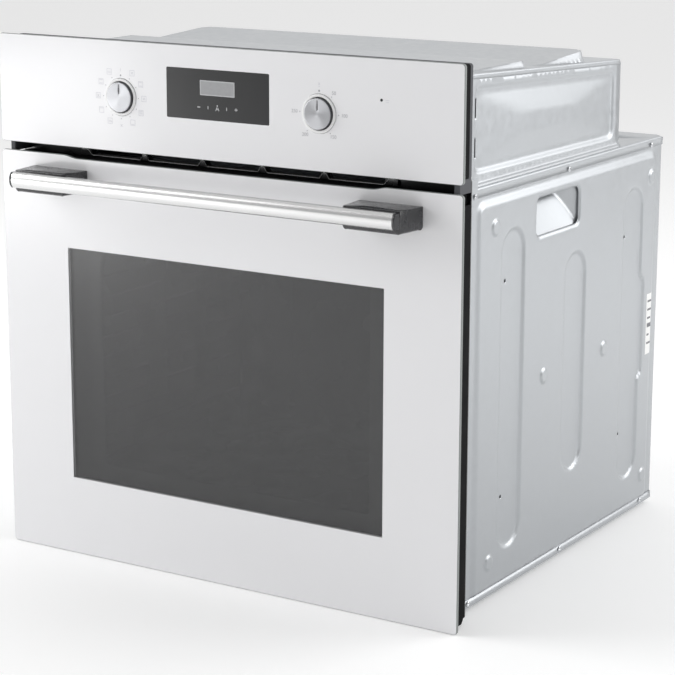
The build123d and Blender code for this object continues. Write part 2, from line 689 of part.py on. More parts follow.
def door_profile():
    """Right-hand side channel of the door, with its foot rounded about the hinge axis."""
    y = (GLASS_BACK + 0.1, DOOR_BACK)
    top = DOOR_TOP - 14.0
    foot = DOOR_FOOT
    wall = CHANNEL_WALL
    inside = (CHANNEL_X[0] + wall, CHANNEL_X[1] - wall)

    def outline(inset):
        """Side view of the channel, drawn in by the inset."""
        low, high = y[0] + inset, y[1] - inset
        body = Pos((low + high) / 2, (AXIS_Z + top) / 2) * Rectangle(high - low, top - AXIS_Z)
        heel = Pos((low + high) / 2, (AXIS_Z + foot) / 2) * Rectangle(high - low, AXIS_Z - foot)
        heel &= Pos(AXIS_Y, AXIS_Z) * Circle(FOOT_R - inset)
        toe = Pos((low + AXIS_Y) / 2, (AXIS_Z + foot) / 2) * Rectangle(AXIS_Y - low, AXIS_Z - foot)
        return body + heel + toe

    channel = slice_yz(outline(0), CHANNEL_X) - slice_yz(outline(wall), inside)
    channel -= block(inside, (y[0] - 1, y[0] + 3), (foot - 1, top + 1))
    channel -= block(inside, (y[0] - 1, y[1] - wall), (foot - 1, foot + 4))
    channel -= block((HINGE_X - 3.5, HINGE_X + 3.5), (AXIS_Y - 8.5, 0), (foot - 1, AXIS_Z + 8.5))
    return channel


def door_top_trim():
    """Dark bar along the top of the door with air slots."""
    y = (GLASS_BACK + 0.1, DOOR_BACK)
    trim = block((-TRIM_X, TRIM_X), y, (DOOR_TOP - 13.8, DOOR_TOP - 3.2))
    for count in range(-6, 7):
        trim -= block((38.0 * count - 14, 38.0 * count + 14), (-14, -9), (DOOR_TOP - 20, DOOR_TOP))
    return trim


def door_bottom_trim():
    """Dark bar along the foot of the door."""
    half = PANE_X + GAP
    return block((-half, half), (GLASS_BACK + 0.1, -9), (DOOR_FOOT, DOOR_FOOT + 10))


def door_pane(y, z):
    """Inner heat-proof pane of the door."""
    return plate_xz((-PANE_X, PANE_X), y, z, 3)


def handle_bracket():
    """Right-hand stand-off between the door glass and the handle bar."""
    back, front = GLASS_Y - 0.05, GLASS_Y - 39.0
    z = (420.5, 444.7)
    plan = make_face(Polyline((176, back), (HANDLE_X + 5, back), (HANDLE_X, front), (180, front), close=True))
    bracket = extrude(Pos(0, 0, z[0]) * plan, z[1] - z[0])
    chamfered = bracket.faces().sort_by(Axis.Z)[0].edges().filter_by(Axis.X)
    return chamfer(chamfered, 3)


def handle_bar():
    """Flat handle bar with a crowned front."""
    y = (GLASS_Y - 50.0, GLASS_Y - 39.1)
    z = (426.2, 443.4)
    crown = 3.0
    front = ThreePointArc((y[0] + crown, z[0]), (y[0], (z[0] + z[1]) / 2), (y[0] + crown, z[1]))
    rest = Polyline((y[0] + crown, z[1]), (y[1], z[1]), (y[1], z[0]), (y[0] + crown, z[0]))
    return slice_yz(make_face([front, rest]), (-HANDLE_X, HANDLE_X))


def nodes():
    """Every node of the oven and its shape."""
    right = side_panel()
    house = housing_side()
    rack = side_rack()
    shapes = {
        "side_panel_right": right, "side_panel_left": mirror(right, about=Plane.YZ),
        "hand_grip_cups": both(grip_cup()),
        "base_panel": base_panel(),
        "back_panel": back_panel(),
        "top_panel": top_panel(),
        "housing_brackets": both(housing_bracket()),
        "body_screws": body_screws(),
        "front_frame": front_frame(),
        "vent_louvre": vent_louvre(),
        "housing_side_right": house, "housing_side_left": mirror(house, about=Plane.YZ),
        "housing_back": housing_back(),
        "top_cover": top_cover(),
        "control_panel_glass": control_panel_glass(),
        "control_panel_tray": control_panel_tray(),
        "display_module": display_module(),
        "indicator_lamp": lamp_dot((GLASS_Y, -18), 1.4),
        "knob_bezels": group(*[knob_bezel(x) for x in knob_places()]),
        "selector_switch": switch_body(-KNOB_X, 20),
        "thermostat": switch_body(KNOB_X, 23),
        "selector_shaft": control_shaft(-KNOB_X), "thermostat_shaft": control_shaft(KNOB_X),
        "selector_knob": control_knob(-KNOB_X), "thermostat_knob": control_knob(KNOB_X),
        "insulation_blankets": insulation(),
        "door_gasket": door_gasket(),
        "side_rack_right": rack, "side_rack_left": mirror(rack, about=Plane.YZ),
        "fan_cover": fan_cover(),
        "fan_impeller": fan_impeller(),
        "fan_motor": fan_motor(),
        "grill_element": grill_element(),
        "bottom_element": bottom_element(),
        "ring_heater": ring_heater(),
        "blower_housing": blower_housing(),
        "blower_impeller": blower_impeller(),
        "blower_motor": blower_motor(),
        "air_duct": air_duct(),
        "terminal_block": terminal_block(),
        "hinge_receivers": both(hinge_receiver()),
        "hinge_arms": both(hinge_arm()),
        "hinge_cassettes": both(hinge_cassette()),
        "hinge_pins": both(hinge_pin()),
        "door_outer_glass": door_outer_glass(),
        "door_middle_glass": door_pane((-21, -18), (12, 443)),
        "door_inner_glass": door_pane((-11.9, -7.9), (26, 445)),
        "door_side_profiles": both(door_profile()),
        "door_top_trim": door_top_trim(),
        "door_bottom_trim": door_bottom_trim(),
        "handle_brackets": both(handle_bracket()),
        "handle_bar": handle_bar(),
    }
    shapes.update(cavity_walls())
    shapes.update(lamp_parts())
    return shapes


os.makedirs("parts", exist_ok=True)
for node, shape in nodes().items():
    export_step(shape, f"parts/{node}.step")
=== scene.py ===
"""Built-in wall oven with a white glass front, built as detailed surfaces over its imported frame.

Every piece is worked out in millimetres in the frame of the CAD model and put into its mesh in metres:
+Z up, +X to the right seen from the front, +Y into the oven.
"""

import json
from math import cos, pi, radians, sin

import bmesh
import bpy
import numpy as np
from mathutils import Matrix, Vector
from mathutils.geometry import delaunay_2d_cdt


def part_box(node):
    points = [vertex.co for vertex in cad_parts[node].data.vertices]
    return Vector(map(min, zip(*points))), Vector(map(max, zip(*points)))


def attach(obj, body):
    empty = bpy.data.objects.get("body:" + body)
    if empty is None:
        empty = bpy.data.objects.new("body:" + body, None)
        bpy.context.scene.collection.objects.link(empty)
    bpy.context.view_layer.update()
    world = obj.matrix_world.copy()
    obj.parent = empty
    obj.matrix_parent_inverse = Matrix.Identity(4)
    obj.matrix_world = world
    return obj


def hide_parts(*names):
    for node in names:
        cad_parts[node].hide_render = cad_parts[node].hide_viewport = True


bl_info = {
    "name": "Built-in wall oven",
    "version": (1, 0, 0),
    "blender": (4, 5, 0),
    "location": "3D View > Sidebar > Oven",
    "description": "Builds the glass front, pressed body, finishes and studio of a built-in wall oven",
    "category": "Object",
}

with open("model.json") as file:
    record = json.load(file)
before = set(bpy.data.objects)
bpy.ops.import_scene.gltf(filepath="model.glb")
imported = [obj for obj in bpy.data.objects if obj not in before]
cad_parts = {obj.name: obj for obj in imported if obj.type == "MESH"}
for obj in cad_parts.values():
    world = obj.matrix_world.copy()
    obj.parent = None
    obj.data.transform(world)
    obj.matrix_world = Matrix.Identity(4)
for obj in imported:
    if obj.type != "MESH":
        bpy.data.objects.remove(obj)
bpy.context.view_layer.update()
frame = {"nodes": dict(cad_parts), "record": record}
MM = 0.001


def edges_of(node):
    """Lowest and highest corner of a CAD node in millimetres."""
    low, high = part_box(node)
    return np.array(low) / MM, np.array(high) / MM


PANEL_LOW, PANEL_HIGH = edges_of("control_panel_glass")
DOOR_LOW, DOOR_HIGH = edges_of("door_outer_glass")
SIDE_LOW, SIDE_HIGH = edges_of("side_panel_right")
HOUSE_LOW, HOUSE_HIGH = edges_of("housing_side_right")
LID_LOW, LID_HIGH = edges_of("top_cover")
BAR_LOW, BAR_HIGH = edges_of("handle_bar")
CAP_LOW, CAP_HIGH = edges_of("selector_knob")
GLASS_FRONT = PANEL_LOW[1]
KNOB_X = -(CAP_LOW[0] + CAP_HIGH[0]) / 2
KNOB_Z = (CAP_LOW[2] + CAP_HIGH[2]) / 2
CAP_R = (CAP_HIGH[0] - CAP_LOW[0]) / 2
BEZEL_R = 20.5              # outer radius of the white ring round a control
INDICATOR = (202.0, 548.5)  # middle of the pilot lamp's hole, across and up
FLAT_X = 274.0              # outer face of the flat border of the body sides
GLASS_CORNER = 4.0          # corner radius of both front glasses
SHEET = 1.0                 # thickness of the pressed steel sheets


# ---------------------------------------------------------------- colour and shader helpers

def hex_linear(code):
    """Opaque linear colour from an sRGB hex value: ((c + 0.055) / 1.055) to the power 2.4 above 0.04045."""
    value = np.array([int(code[k:k + 2], 16) for k in (1, 3, 5)]) / 255
    value = np.where(value > 0.04045, ((value + 0.055) / 1.055) ** 2.4, value / 12.92)
    return (*value.tolist(), 1.0)


def feed(tree, node, inputs):
    """Set the inputs of a shader node: each takes a number, a colour or another node's socket."""
    for key, value in inputs.items():
        if isinstance(value, bpy.types.NodeSocket):
            tree.links.new(value, node.inputs[key])
        else:
            node.inputs[key].default_value = value


def add(tree, kind, inputs=None, **settings):
    """Add one shader node with its settings and inputs."""
    made = tree.nodes.new(kind)
    for name, value in settings.items():
        setattr(made, name, value)
    feed(tree, made, inputs or {})
    return made


def empty_material(name):
    """New material with a Principled shader already joined to its output."""
    material = bpy.data.materials.new(name)
    material.use_nodes = True
    tree = material.node_tree
    tree.nodes.clear()
    shader = add(tree, "ShaderNodeBsdfPrincipled")
    add(tree, "ShaderNodeOutputMaterial", {"Surface": shader.outputs["BSDF"]})
    return material, tree, shader


def shaded(colour, factor):
    """The same colour, darker or lighter by a factor."""
    return (*[min(1.0, part * factor) for part in colour[:3]], 1.0)


NOISE_SPAN = (0.3, 0.7)     # the middle part of the noise, between its plain tones


def finish(name, code, rough, tone=0.03, cloud=60.0, grain=0.8, relief=0.01, stretch=(1, 1, 1),
           metallic=0.0, coat=0.0, coat_rough=0.05, anisotropic=0.0, ior=1.5, alpha=1.0, specks=None):
    """Surface with a cloudy tone, an uneven gloss and a fine relief.

    code is a hex value, or a colour from the settings, which is linear already. tone is how far the colour
    strays either way, cloud the size of its patches in mm, rough the lowest and highest roughness, grain the
    size and relief the height of the fine relief in mm. specks is the pitch in mm, the share of the pitch
    that one speck fills, and the colour.
    """
    material, tree, shader = empty_material(name)
    colour = hex_linear(code) if isinstance(code, str) else (*code, 1.0)
    low, high = NOISE_SPAN
    where = add(tree, "ShaderNodeTexCoord").outputs["Object"]
    where = add(tree, "ShaderNodeMapping", {"Vector": where, "Scale": stretch}).outputs["Vector"]
    patches = add(tree, "ShaderNodeTexNoise", {"Vector": where, "Scale": 1 / (cloud * MM), "Detail": 3.0})
    tones = add(tree, "ShaderNodeValToRGB", {"Fac": patches.outputs["Fac"]})
    for stop, at, factor in zip(tones.color_ramp.elements, NOISE_SPAN, (1 - tone, 1 + tone)):
        stop.position = at
        stop.color = shaded(colour, factor)
    painted = tones.outputs["Color"]
    if specks:
        pitch, share, speck_code = specks
        dots = add(tree, "ShaderNodeTexVoronoi", {"Vector": where, "Scale": 1 / (pitch * MM)})
        inside = add(tree, "ShaderNodeMapRange", {"Value": dots.outputs["Distance"], "From Min": share,
                                                  "From Max": share * 0.6})
        blend = add(tree, "ShaderNodeMix", {0: inside.outputs["Result"], 6: painted,
                                            7: hex_linear(speck_code)}, data_type="RGBA")
        painted = blend.outputs[2]
    gloss = add(tree, "ShaderNodeMapRange", {"Value": patches.outputs["Fac"], "From Min": low,
                                             "From Max": high, "To Min": rough[0], "To Max": rough[1]})
    fine = add(tree, "ShaderNodeTexNoise", {"Vector": where, "Scale": 1 / (grain * MM), "Detail": 2.0})
    bump = add(tree, "ShaderNodeBump", {"Height": fine.outputs["Fac"], "Distance": relief * MM,
                                        "Strength": 0.6})
    feed(tree, shader, {"Base Color": painted, "Roughness": gloss.outputs["Result"],
                        "Normal": bump.outputs["Normal"], "Metallic": metallic, "IOR": ior, "Alpha": alpha,
                        "Coat Weight": coat, "Coat Roughness": coat_rough, "Anisotropic": anisotropic})
    return material


TURN_UV = "turn"            # map of a turned cap: the angle along U, the radius along V


def spun_metal(name, code):
    """Aluminium faced on a lathe: fine rings about the centre stretch each highlight into a wedge."""
    material, tree, shader = empty_material(name)
    uv = add(tree, "ShaderNodeUVMap", uv_map=TURN_UV)
    # The tool marks lie 0.05 mm apart; they are drawn 0.4 mm apart so that they show. A wave texture has
    # about three bands to each unit of its scale.
    pitch, bands = 0.4, 3
    rings = add(tree, "ShaderNodeTexWave", {"Vector": uv.outputs["UV"], "Scale": CAP_R / pitch / bands,
                                            "Distortion": 0.0},
                wave_type="BANDS", bands_direction="Y")
    tangent = add(tree, "ShaderNodeTangent", direction_type="UV_MAP", uv_map=TURN_UV)
    bump = add(tree, "ShaderNodeBump", {"Height": rings.outputs["Fac"], "Distance": 0.004 * MM,
                                        "Strength": 0.25})
    feed(tree, shader, {"Base Color": hex_linear(code), "Metallic": 1.0, "Roughness": 0.3,
                        "Anisotropic": 0.85, "Tangent": tangent.outputs["Tangent"],
                        "Normal": bump.outputs["Normal"]})
    return material


# ---------------------------------------------------------------- mesh helpers

def grid_faces(rows, columns, wrap=False):
    """Corner numbers of the quads on a grid of points, closed round its columns if wrap is set."""
    index = np.arange(rows * columns).reshape(rows, columns)
    if wrap:
        index = np.hstack([index, index[:, :1]])
    quads = [index[:-1, :-1], index[:-1, 1:], index[1:, 1:], index[1:, :-1]]
    return np.stack(quads, -1).reshape(-1, 4)


def lofted(rings, ends=(True, True), zone=0):
    """Skin over closed rings of points, with a fan to the middle of each closed end."""
    rings = np.asarray(rings, float)
    count = rings.shape[1]
    if ends[0]:
        rings = np.concatenate([np.repeat(rings[:1].mean(1, keepdims=True), count, 1), rings])
    if ends[1]:
        rings = np.concatenate([rings, np.repeat(rings[-1:].mean(1, keepdims=True), count, 1)])
    return rings.reshape(-1, 3), grid_faces(*rings.shape[:2], wrap=True), zone


def mirrored(part):
    """A part on the other side of the oven: X changes sign and each face turns round."""
    points, faces, zone = part
    return points * (-1, 1, 1), faces[:, ::-1], zone


WELD = 0.002                # points closer than this, in mm, become one


def make_mesh(name, parts, closed=True, crease=40.0, uv=None):
    """Mesh in metres from parts of points in mm, corner numbers and zone numbers.

    A closed mesh has its faces turned outwards; edges sharper than the crease, in degrees, stay sharp.
    """
    mesh = bpy.data.meshes.new(name)
    start = np.cumsum([0] + [len(points) for points, _, _ in parts])
    faces = [row for first, (_, rows, _) in zip(start, parts) for row in (rows + first).tolist()]
    zones = np.concatenate([np.broadcast_to(zone, len(rows)) for _, rows, zone in parts])
    mesh.from_pydata(np.vstack([points for points, _, _ in parts]) * MM, [], faces)
    mesh.polygons.foreach_set("material_index", zones.astype(np.int32))
    if uv is not None:
        mesh.uv_layers.new(name=TURN_UV).data.foreach_set("uv", np.asarray(uv, np.float32).ravel())
    work = bmesh.new()
    work.from_mesh(mesh)
    bmesh.ops.remove_doubles(work, verts=work.verts, dist=WELD * MM)
    if closed:
        bmesh.ops.recalc_face_normals(work, faces=work.faces)
    work.to_mesh(mesh)
    work.free()
    mesh.shade_smooth()
    mesh.set_sharp_from_angle(angle=radians(crease))
    return mesh


def piece(name, mesh, materials, body, replaced=()):
    """Object for a finished mesh that rides on a body and may stand for CAD nodes."""
    made = bpy.data.objects.new(name, mesh)
    bpy.context.scene.collection.objects.link(made)
    for material in materials:
        mesh.materials.append(material)
    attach(made, body)
    if replaced:
        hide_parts(*replaced)
    return made


def wall(made, thickness=SHEET):
    """Give a sheet its thickness behind its visible face."""
    solid = made.modifiers.new("Sheet thickness", "SOLIDIFY")
    solid.thickness = thickness * MM
    solid.offset = -1.0


def pressed(name, parts, nodes, thickness=SHEET):
    """Galvanised sheet of the body that stands for some CAD nodes."""
    mesh = make_mesh(name, parts, False, 50)
    wall(piece(name, mesh, [FINISHES["galvanised"]], "cabinet", nodes), thickness)


# ---------------------------------------------------------------- outlines and formulas

def ramp(distance, width):
    """Smooth step from 0 at no distance to 1 at the width: half a cosine wave."""
    return 0.5 - 0.5 * np.cos(pi * np.clip(distance / width, 0, 1))


def circle(x, z, radius, count=32):
    """Round loop: centre plus the radius times cosine and sine of the turn."""
    turn = np.arange(count) * 2 * pi / count
    return np.stack([x + radius * np.cos(turn), z + radius * np.sin(turn)], -1)


def rounded(x, z, radius, arc=8):
    """Rounded rectangle: four arcs about the corner centres, joined by straight runs."""
    turn = np.linspace(0, pi / 2, arc + 1)
    corners = [(x[1] - radius, z[1] - radius, 0), (x[0] + radius, z[1] - radius, pi / 2),
               (x[0] + radius, z[0] + radius, pi), (x[1] - radius, z[0] + radius, 3 * pi / 2)]
    return np.concatenate([np.stack([cx + radius * np.cos(turn + start), cz + radius * np.sin(turn + start)],
                                    -1) for cx, cz, start in corners])


def spaced(loop, step):
    """Closed loop with points at even steps along it."""
    closed = np.vstack([loop, loop[:1]])
    run = np.r_[0, np.cumsum(np.hypot(*np.diff(closed, axis=0).T))]
    at = np.linspace(0, run[-1], max(8, round(run[-1] / step)), endpoint=False)
    return np.stack([np.interp(at, run, closed[:, k]) for k in (0, 1)], -1)


def drawn_in(loop, amount):
    """Anticlockwise loop moved inwards: each point goes along the mitre of its two edge normals."""
    edge = np.roll(loop, -1, 0) - loop
    normal = np.stack([-edge[:, 1], edge[:, 0]], -1) / np.maximum(np.hypot(*edge.T), 1e-9)[:, None]
    before = np.roll(normal, 1, 0)
    mitre = (normal + before) / (1 + (normal * before).sum(1, keepdims=True))
    return loop + amount * mitre


def within(loop, points):
    """Whether each point lies in a closed loop: a level ray from it meets the loop an odd number of times."""
    after = np.roll(loop, -1, 0)
    x, y = points[:, :1], points[:, 1:]
    rise = after[:, 1] - loop[:, 1]
    meets = (loop[:, 1] > y) != (after[:, 1] > y)
    at = loop[:, 0] + (y - loop[:, 1]) * (after[:, 0] - loop[:, 0]) / np.where(rise == 0, 1, rise)
    return (meets & (x < at)).sum(1) % 2 == 1


def triangulated(outline, holes=(), lines=(), scatter=()):
    """Triangles over a flat outline with holes that keep every loop and line and use the scattered points."""
    loops = [outline, *holes, *lines]
    links, start = [], 0
    for loop in loops:
        number = np.arange(len(loop)) + start
        links += np.stack([number, np.roll(number, -1)], -1).tolist()
        start += len(loop)
    points = np.vstack([*loops, *scatter])
    found = delaunay_2d_cdt(list(map(Vector, points)), links, [], 0, 1e-5)
    flat = np.array([corner[:] for corner in found[0]])
    faces = np.array(found[2])
    middle = flat[faces].mean(1)
    keep = within(outline, middle)
    for hole in holes:
        keep &= ~within(hole, middle)
    used, faces = np.unique(faces[keep], return_inverse=True)
    return flat[used], faces.reshape(-1, 3)


def plate(outline, y, chamfer=0.0, holes=(), zones=(), edge_zone=0, base_zone=0):
    """Upright plate from y[0] at the front to y[1], with ground edges; zones are (number, loop) pairs."""
    face_loop = drawn_in(outline, chamfer) if chamfer else outline
    flat, faces = triangulated(face_loop, holes, [loop for _, loop in zones])
    middle = flat[faces].mean(1)
    zone = np.full(len(faces), base_zone)
    for number, loop in zones:
        zone[within(loop, middle)] = number
    front = np.stack([flat[:, 0], np.full(len(flat), y[0]), flat[:, 1]], -1)
    back = front + (0, y[1] - y[0], 0)
    rims = [(face_loop, y[0]), (outline, y[0] + chamfer), (outline, y[1] - chamfer), (face_loop, y[1])]
    if not chamfer:
        rims = rims[1:3]
    walls = [rims] + [[(hole, y[0]), (hole, y[1])] for hole in holes]
    parts = [(front, faces, zone), (back, faces[:, ::-1], zone)]
    for rings in walls:
        skin = [np.stack([loop[:, 0], np.full(len(loop), at), loop[:, 1]], -1) for loop, at in rings]
        parts.append(lofted(skin, (False, False), edge_zone))
    return parts


def box_inset(y, z, span_y, span_z, radius):
    """Distance inside a rounded rectangle, negative outside it."""
    qy = np.abs(y - sum(span_y) / 2) - (span_y[1] - span_y[0]) / 2 + radius
    qz = np.abs(z - sum(span_z) / 2) - (span_z[1] - span_z[0]) / 2 + radius
    return radius - np.hypot(np.maximum(qy, 0), np.maximum(qz, 0)) - np.minimum(np.maximum(qy, qz), 0)


def turned(profile, centre, count=96):
    """Solid turned about a line along Y: rings of the profile's radius at the profile's depth."""
    turn = np.arange(count) * 2 * pi / count
    radius, depth = np.asarray(profile, float).T
    ring = np.stack([np.cos(turn), np.zeros(count), np.sin(turn)], -1)
    points = radius[:, None, None] * ring + depth[:, None, None] * np.array((0, 1, 0))
    return points + np.array((centre[0], 0, centre[1]))


def along_x(loop, x):
    """Loop in Y and Z set at one X."""
    return np.column_stack([np.full(len(loop), x), loop])


def along_y(loop, y):
    """Loop in X and Z set at one Y."""
    return np.column_stack([loop[:, 0], np.full(len(loop), y), loop[:, 1]])


def upright(places, heights):
    """Rows of points for a triangulated outline: each place across is repeated at every height."""
    return [np.stack([np.full(len(heights), place), heights], -1) for place in places]


def level(heights, places):
    """Rows of points for a triangulated outline: each height is repeated at every place across."""
    return [np.stack([places, np.full(len(places), height)], -1) for height in heights]


# ---------------------------------------------------------------- settings

class OvenFrontSettings(bpy.types.PropertyGroup):
    """Sizes and colours of the glass front and its controls."""

    window_half: bpy.props.FloatProperty(
        name="Window half width", description="From the middle of the door to the side of its window, in mm",
        default=206.5, min=100, max=260)
    window_low: bpy.props.FloatProperty(
        name="Window foot", description="Height of the lower edge of the window, in mm", default=86.5)
    window_high: bpy.props.FloatProperty(
        name="Window head", description="Height of the upper edge of the window, in mm", default=354.9)
    clear_half: bpy.props.FloatProperty(
        name="Clear half width", description="Half width of the unprinted field of the inner pane, in mm",
        default=178.0)
    dip_depth: bpy.props.FloatProperty(
        name="Top edge dip", description="Depth of the dip along the top edge of the door glass, in mm",
        default=3.0, min=0, max=5)
    white: bpy.props.FloatVectorProperty(
        name="Glass print", description="Colour of the print on the back of the front glass",
        subtype="COLOR", size=3, min=0, max=1, default=hex_linear("#EDEDEF")[:3])
    smoke: bpy.props.FloatProperty(
        name="Window density", description="Share of light held back by each face of the window",
        subtype="FACTOR", default=0.42, min=0, max=1)


class OvenBodySettings(bpy.types.PropertyGroup):
    """Sizes and colours of the pressed steel body."""

    field_height: bpy.props.FloatProperty(
        name="Field height", description="Height of the raised field of the side panels, in mm", default=3.0)
    dimple_height: bpy.props.FloatProperty(
        name="Dimple height", description="Height of the round dimples above the field, in mm", default=2.0)
    recess: bpy.props.FloatProperty(
        name="Housing recess", description="Depth of the recess in the control housing sides, in mm",
        default=2.5)
    steel: bpy.props.FloatVectorProperty(
        name="Steel", description="Colour of the galvanised sheet", subtype="COLOR", size=3, min=0, max=1,
        default=hex_linear("#B4B7BA")[:3])


class OvenStageSettings(bpy.types.PropertyGroup):
    """Floor, light and camera."""

    floor: bpy.props.FloatVectorProperty(
        name="Floor", description="Colour of the studio floor", subtype="COLOR", size=3, min=0, max=1,
        default=hex_linear("#F6F6F6")[:3])
    glow: bpy.props.FloatProperty(
        name="Floor glow", description="Light that the lit studio floor gives of its own", default=0.2, min=0)
    surround: bpy.props.FloatProperty(
        name="Surround", description="Strength of the light from all sides", default=1.17, min=0)
    key: bpy.props.FloatProperty(
        name="Key light", description="Power of the large soft light on the left", subtype="POWER",
        default=40)
    near: bpy.props.FloatProperty(
        name="Near light", description="Power of the small light low in front on the left", subtype="POWER",
        default=1.8)
    side: bpy.props.FloatProperty(
        name="Side light", description="Power of the soft light behind the right side", subtype="POWER",
        default=26.4)
    rear: bpy.props.FloatProperty(
        name="Rear light", description="Power of the high soft light behind", subtype="POWER", default=0.9)
    lens: bpy.props.FloatProperty(
        name="Lens", description="Focal length of the camera on a 36 mm frame, in mm", default=118.1)


# ---------------------------------------------------------------- finishes of the CAD parts

def slot_finishes(front, body):
    """Finish of each material slot of the record, with the colours of the settings."""
    return {
        # Hot-dip galvanised and skin-passed: satin grey with faint crystals and cloudy gloss.
        "galvanised": finish("Galvanised steel, skin-passed", body.steel, (0.3, 0.4), 0.025, 9.0, 0.7,
                             0.006, metallic=0.85),
        # Zinc-plated and passivated: bright with a soft cool gloss.
        "screw_steel": finish("Screw steel, zinc-plated", "#D5D7DA", (0.22, 0.32), 0.05, 1.5, 0.4, 0.006,
                              metallic=1.0),
        # Pressed spring steel, zinc-plated: slightly darker, with drawn streaks.
        "hinge_steel": finish("Spring steel, pressed and plated", "#A9ABAE", (0.3, 0.45), 0.08, 6.0, 0.5,
                              0.01, (1, 1, 0.2), metallic=1.0),
        # Vitreous enamel on the front frame: deep black under a glassy skin.
        "black_enamel": finish("Steel, black vitreous enamel", "#101114", (0.25, 0.35), 0.1, 30.0, 1.5,
                               0.01, coat=0.8, coat_rough=0.08, specks=(2.6, 0.12, "#3A3D42")),
        # PBT moulded against a spark-eroded tool: matt black with an even grain.
        "black_plastic": finish("PBT, moulded black", "#08080A", (0.8, 0.9), 0.08, 25.0, 0.7, 0.02,
                                ior=1.3),
        # PBT moulded grey: the tray behind the panel glass.
        "grey_plastic": finish("PBT, moulded grey", "#55565A", (0.7, 0.8), 0.04, 25.0, 0.7, 0.02),
        # ABS moulded in a polished tool: clean white with a soft sheen.
        "white_plastic": finish("ABS, moulded white", "#F4F4F4", (0.22, 0.3), 0.008, 20.0, 0.8, 0.003),
        # Polycarbonate light pipe with the lamp off: a small dark dot.
        "lamp_pipe": finish("Polycarbonate, smoked", "#26272A", (0.12, 0.2), 0.06, 2.0, 0.3, 0.002),
        # Float glass printed white behind: an even soft white under a flat glassy skin.
        "white_glass": finish("Float glass, printed white behind", front.white, (0.4, 0.45), 0.004, 120.0,
                              4.0, 0.0005, coat=1.0, coat_rough=0.14),
        # Float glass, clear: nearly nothing but its sharp gloss.
        "clear_glass": finish("Float glass, clear", "#101213", (0.02, 0.05), 0.05, 80.0, 5.0, 0.0005,
                              alpha=0.07),
        # Turned bar: fine rings across its length.
        "shaft_steel": finish("Steel, turned", "#B9BBBE", (0.2, 0.35), 0.04, 2.0, 0.3, 0.006, (1, 8, 1),
                              metallic=1.0),
        # Aluminium turned on its side: bright and satin, with fine rings.
        "knob_metal": finish("Aluminium, turned side", "#C9CACC", (0.25, 0.35), 0.03, 3.0, 0.3, 0.004,
                             (1, 6, 1), metallic=1.0),
        # Needled glass wool: yellow-brown and fully matt, with tangled fibres.
        "glass_wool": finish("Glass wool, needled", "#C9B78A", (0.9, 1.0), 0.25, 12.0, 1.6, 0.8,
                             (1, 0.5, 1)),
        # Extruded silicone: charcoal with a dull sheen.
        "gasket_rubber": finish("Silicone, extruded", "#3B3D40", (0.5, 0.65), 0.08, 8.0, 0.8, 0.02),
        # Bright chrome on drawn wire: mirror bright, with a trace of drawing.
        "rack_chrome": finish("Steel wire, chrome-plated", "#DDE0E3", (0.06, 0.14), 0.02, 12.0, 0.8, 0.003,
                              (1, 0.2, 1), metallic=1.0),
        # Easy-clean enamel: blue-black glass with fine pale specks.
        "cavity_enamel": finish("Steel, speckled vitreous enamel", "#24262B", (0.22, 0.34), 0.1, 45.0, 2.2,
                                0.015, coat=0.9, coat_rough=0.06, specks=(3.2, 0.15, "#8A8F98")),
        # Rolled mill finish: grey with a lengthwise trace.
        "aluminium": finish("Aluminium, rolled", "#B4B6B9", (0.3, 0.42), 0.04, 15.0, 0.6, 0.006,
                            (0.15, 1, 1), metallic=1.0),
        # Stacked lamination steel under clear lacquer: dark grey with fine layers.
        "motor_steel": finish("Lamination steel, lacquered", "#5D6066", (0.35, 0.5), 0.08, 5.0, 0.6, 0.02,
                              (1, 6, 1), metallic=0.8),
        # Nickel alloy tube oxidised by heat: dark and dull with brown patches.
        "element_steel": finish("Nickel alloy tube, oxidised", "#54504C", (0.45, 0.6), 0.18, 14.0, 0.8, 0.02,
                                metallic=0.7),
        # Unglazed steatite: chalky white.
        "ceramic": finish("Steatite, unglazed", "#E6E1D5", (0.6, 0.75), 0.04, 10.0, 0.7, 0.02),
        # Die-cast zinc, powder-coated: near black with a soft fine grain.
        "bracket_black": finish("Die-cast zinc, powder-coated", "#1E1F23", (0.24, 0.3), 0.06, 12.0, 0.9,
                                0.003, coat=0.6, coat_rough=0.1),
        # Brushed lengthwise: the brush lines lie 0.1 mm apart and are drawn 0.5 mm apart so that they show.
        "handle_steel": finish("Stainless steel, brushed", "#E2E2E2", (0.2, 0.28), 0.02, 25.0, 0.5, 0.003,
                               (0.02, 1, 1), metallic=1.0, anisotropic=0.5),
    }


FINISHES = {}               # filled by the first step: material of each slot


class OVEN_OT_finishes(bpy.types.Operator):
    """Give every CAD part the finish of its material slot"""

    bl_idname = "oven.finishes"
    bl_label = "Finishes"

    def execute(self, context):
        FINISHES.update(slot_finishes(context.scene.oven_front, context.scene.oven_body))
        looks = {row["node"]: row["material_slot"] for row in frame["record"]["subparts"]}
        # The tray and the door's side profiles are seen only as a dark matt line beside the white glass.
        looks.update(control_panel_tray="black_plastic", door_side_profiles="black_plastic")
        for node, slot in looks.items():
            shown = frame["nodes"][node].data.materials
            shown.clear()
            shown.append(FINISHES[slot])
        return {"FINISHED"}


# ---------------------------------------------------------------- glass front

DIP_HALF, DIP_RUN = 210.0, 20.0   # half width of the dip in the door's top edge, and of each slope
MIDDLE_FIELD = (226.0, 30.0, 418.0)   # clear field of the middle pane: half width, foot and head
INNER_FIELD_Z = (100.0, 350.0)
DISPLAY_X, DISPLAY_Z = 66.0, (512.5, 566.5)


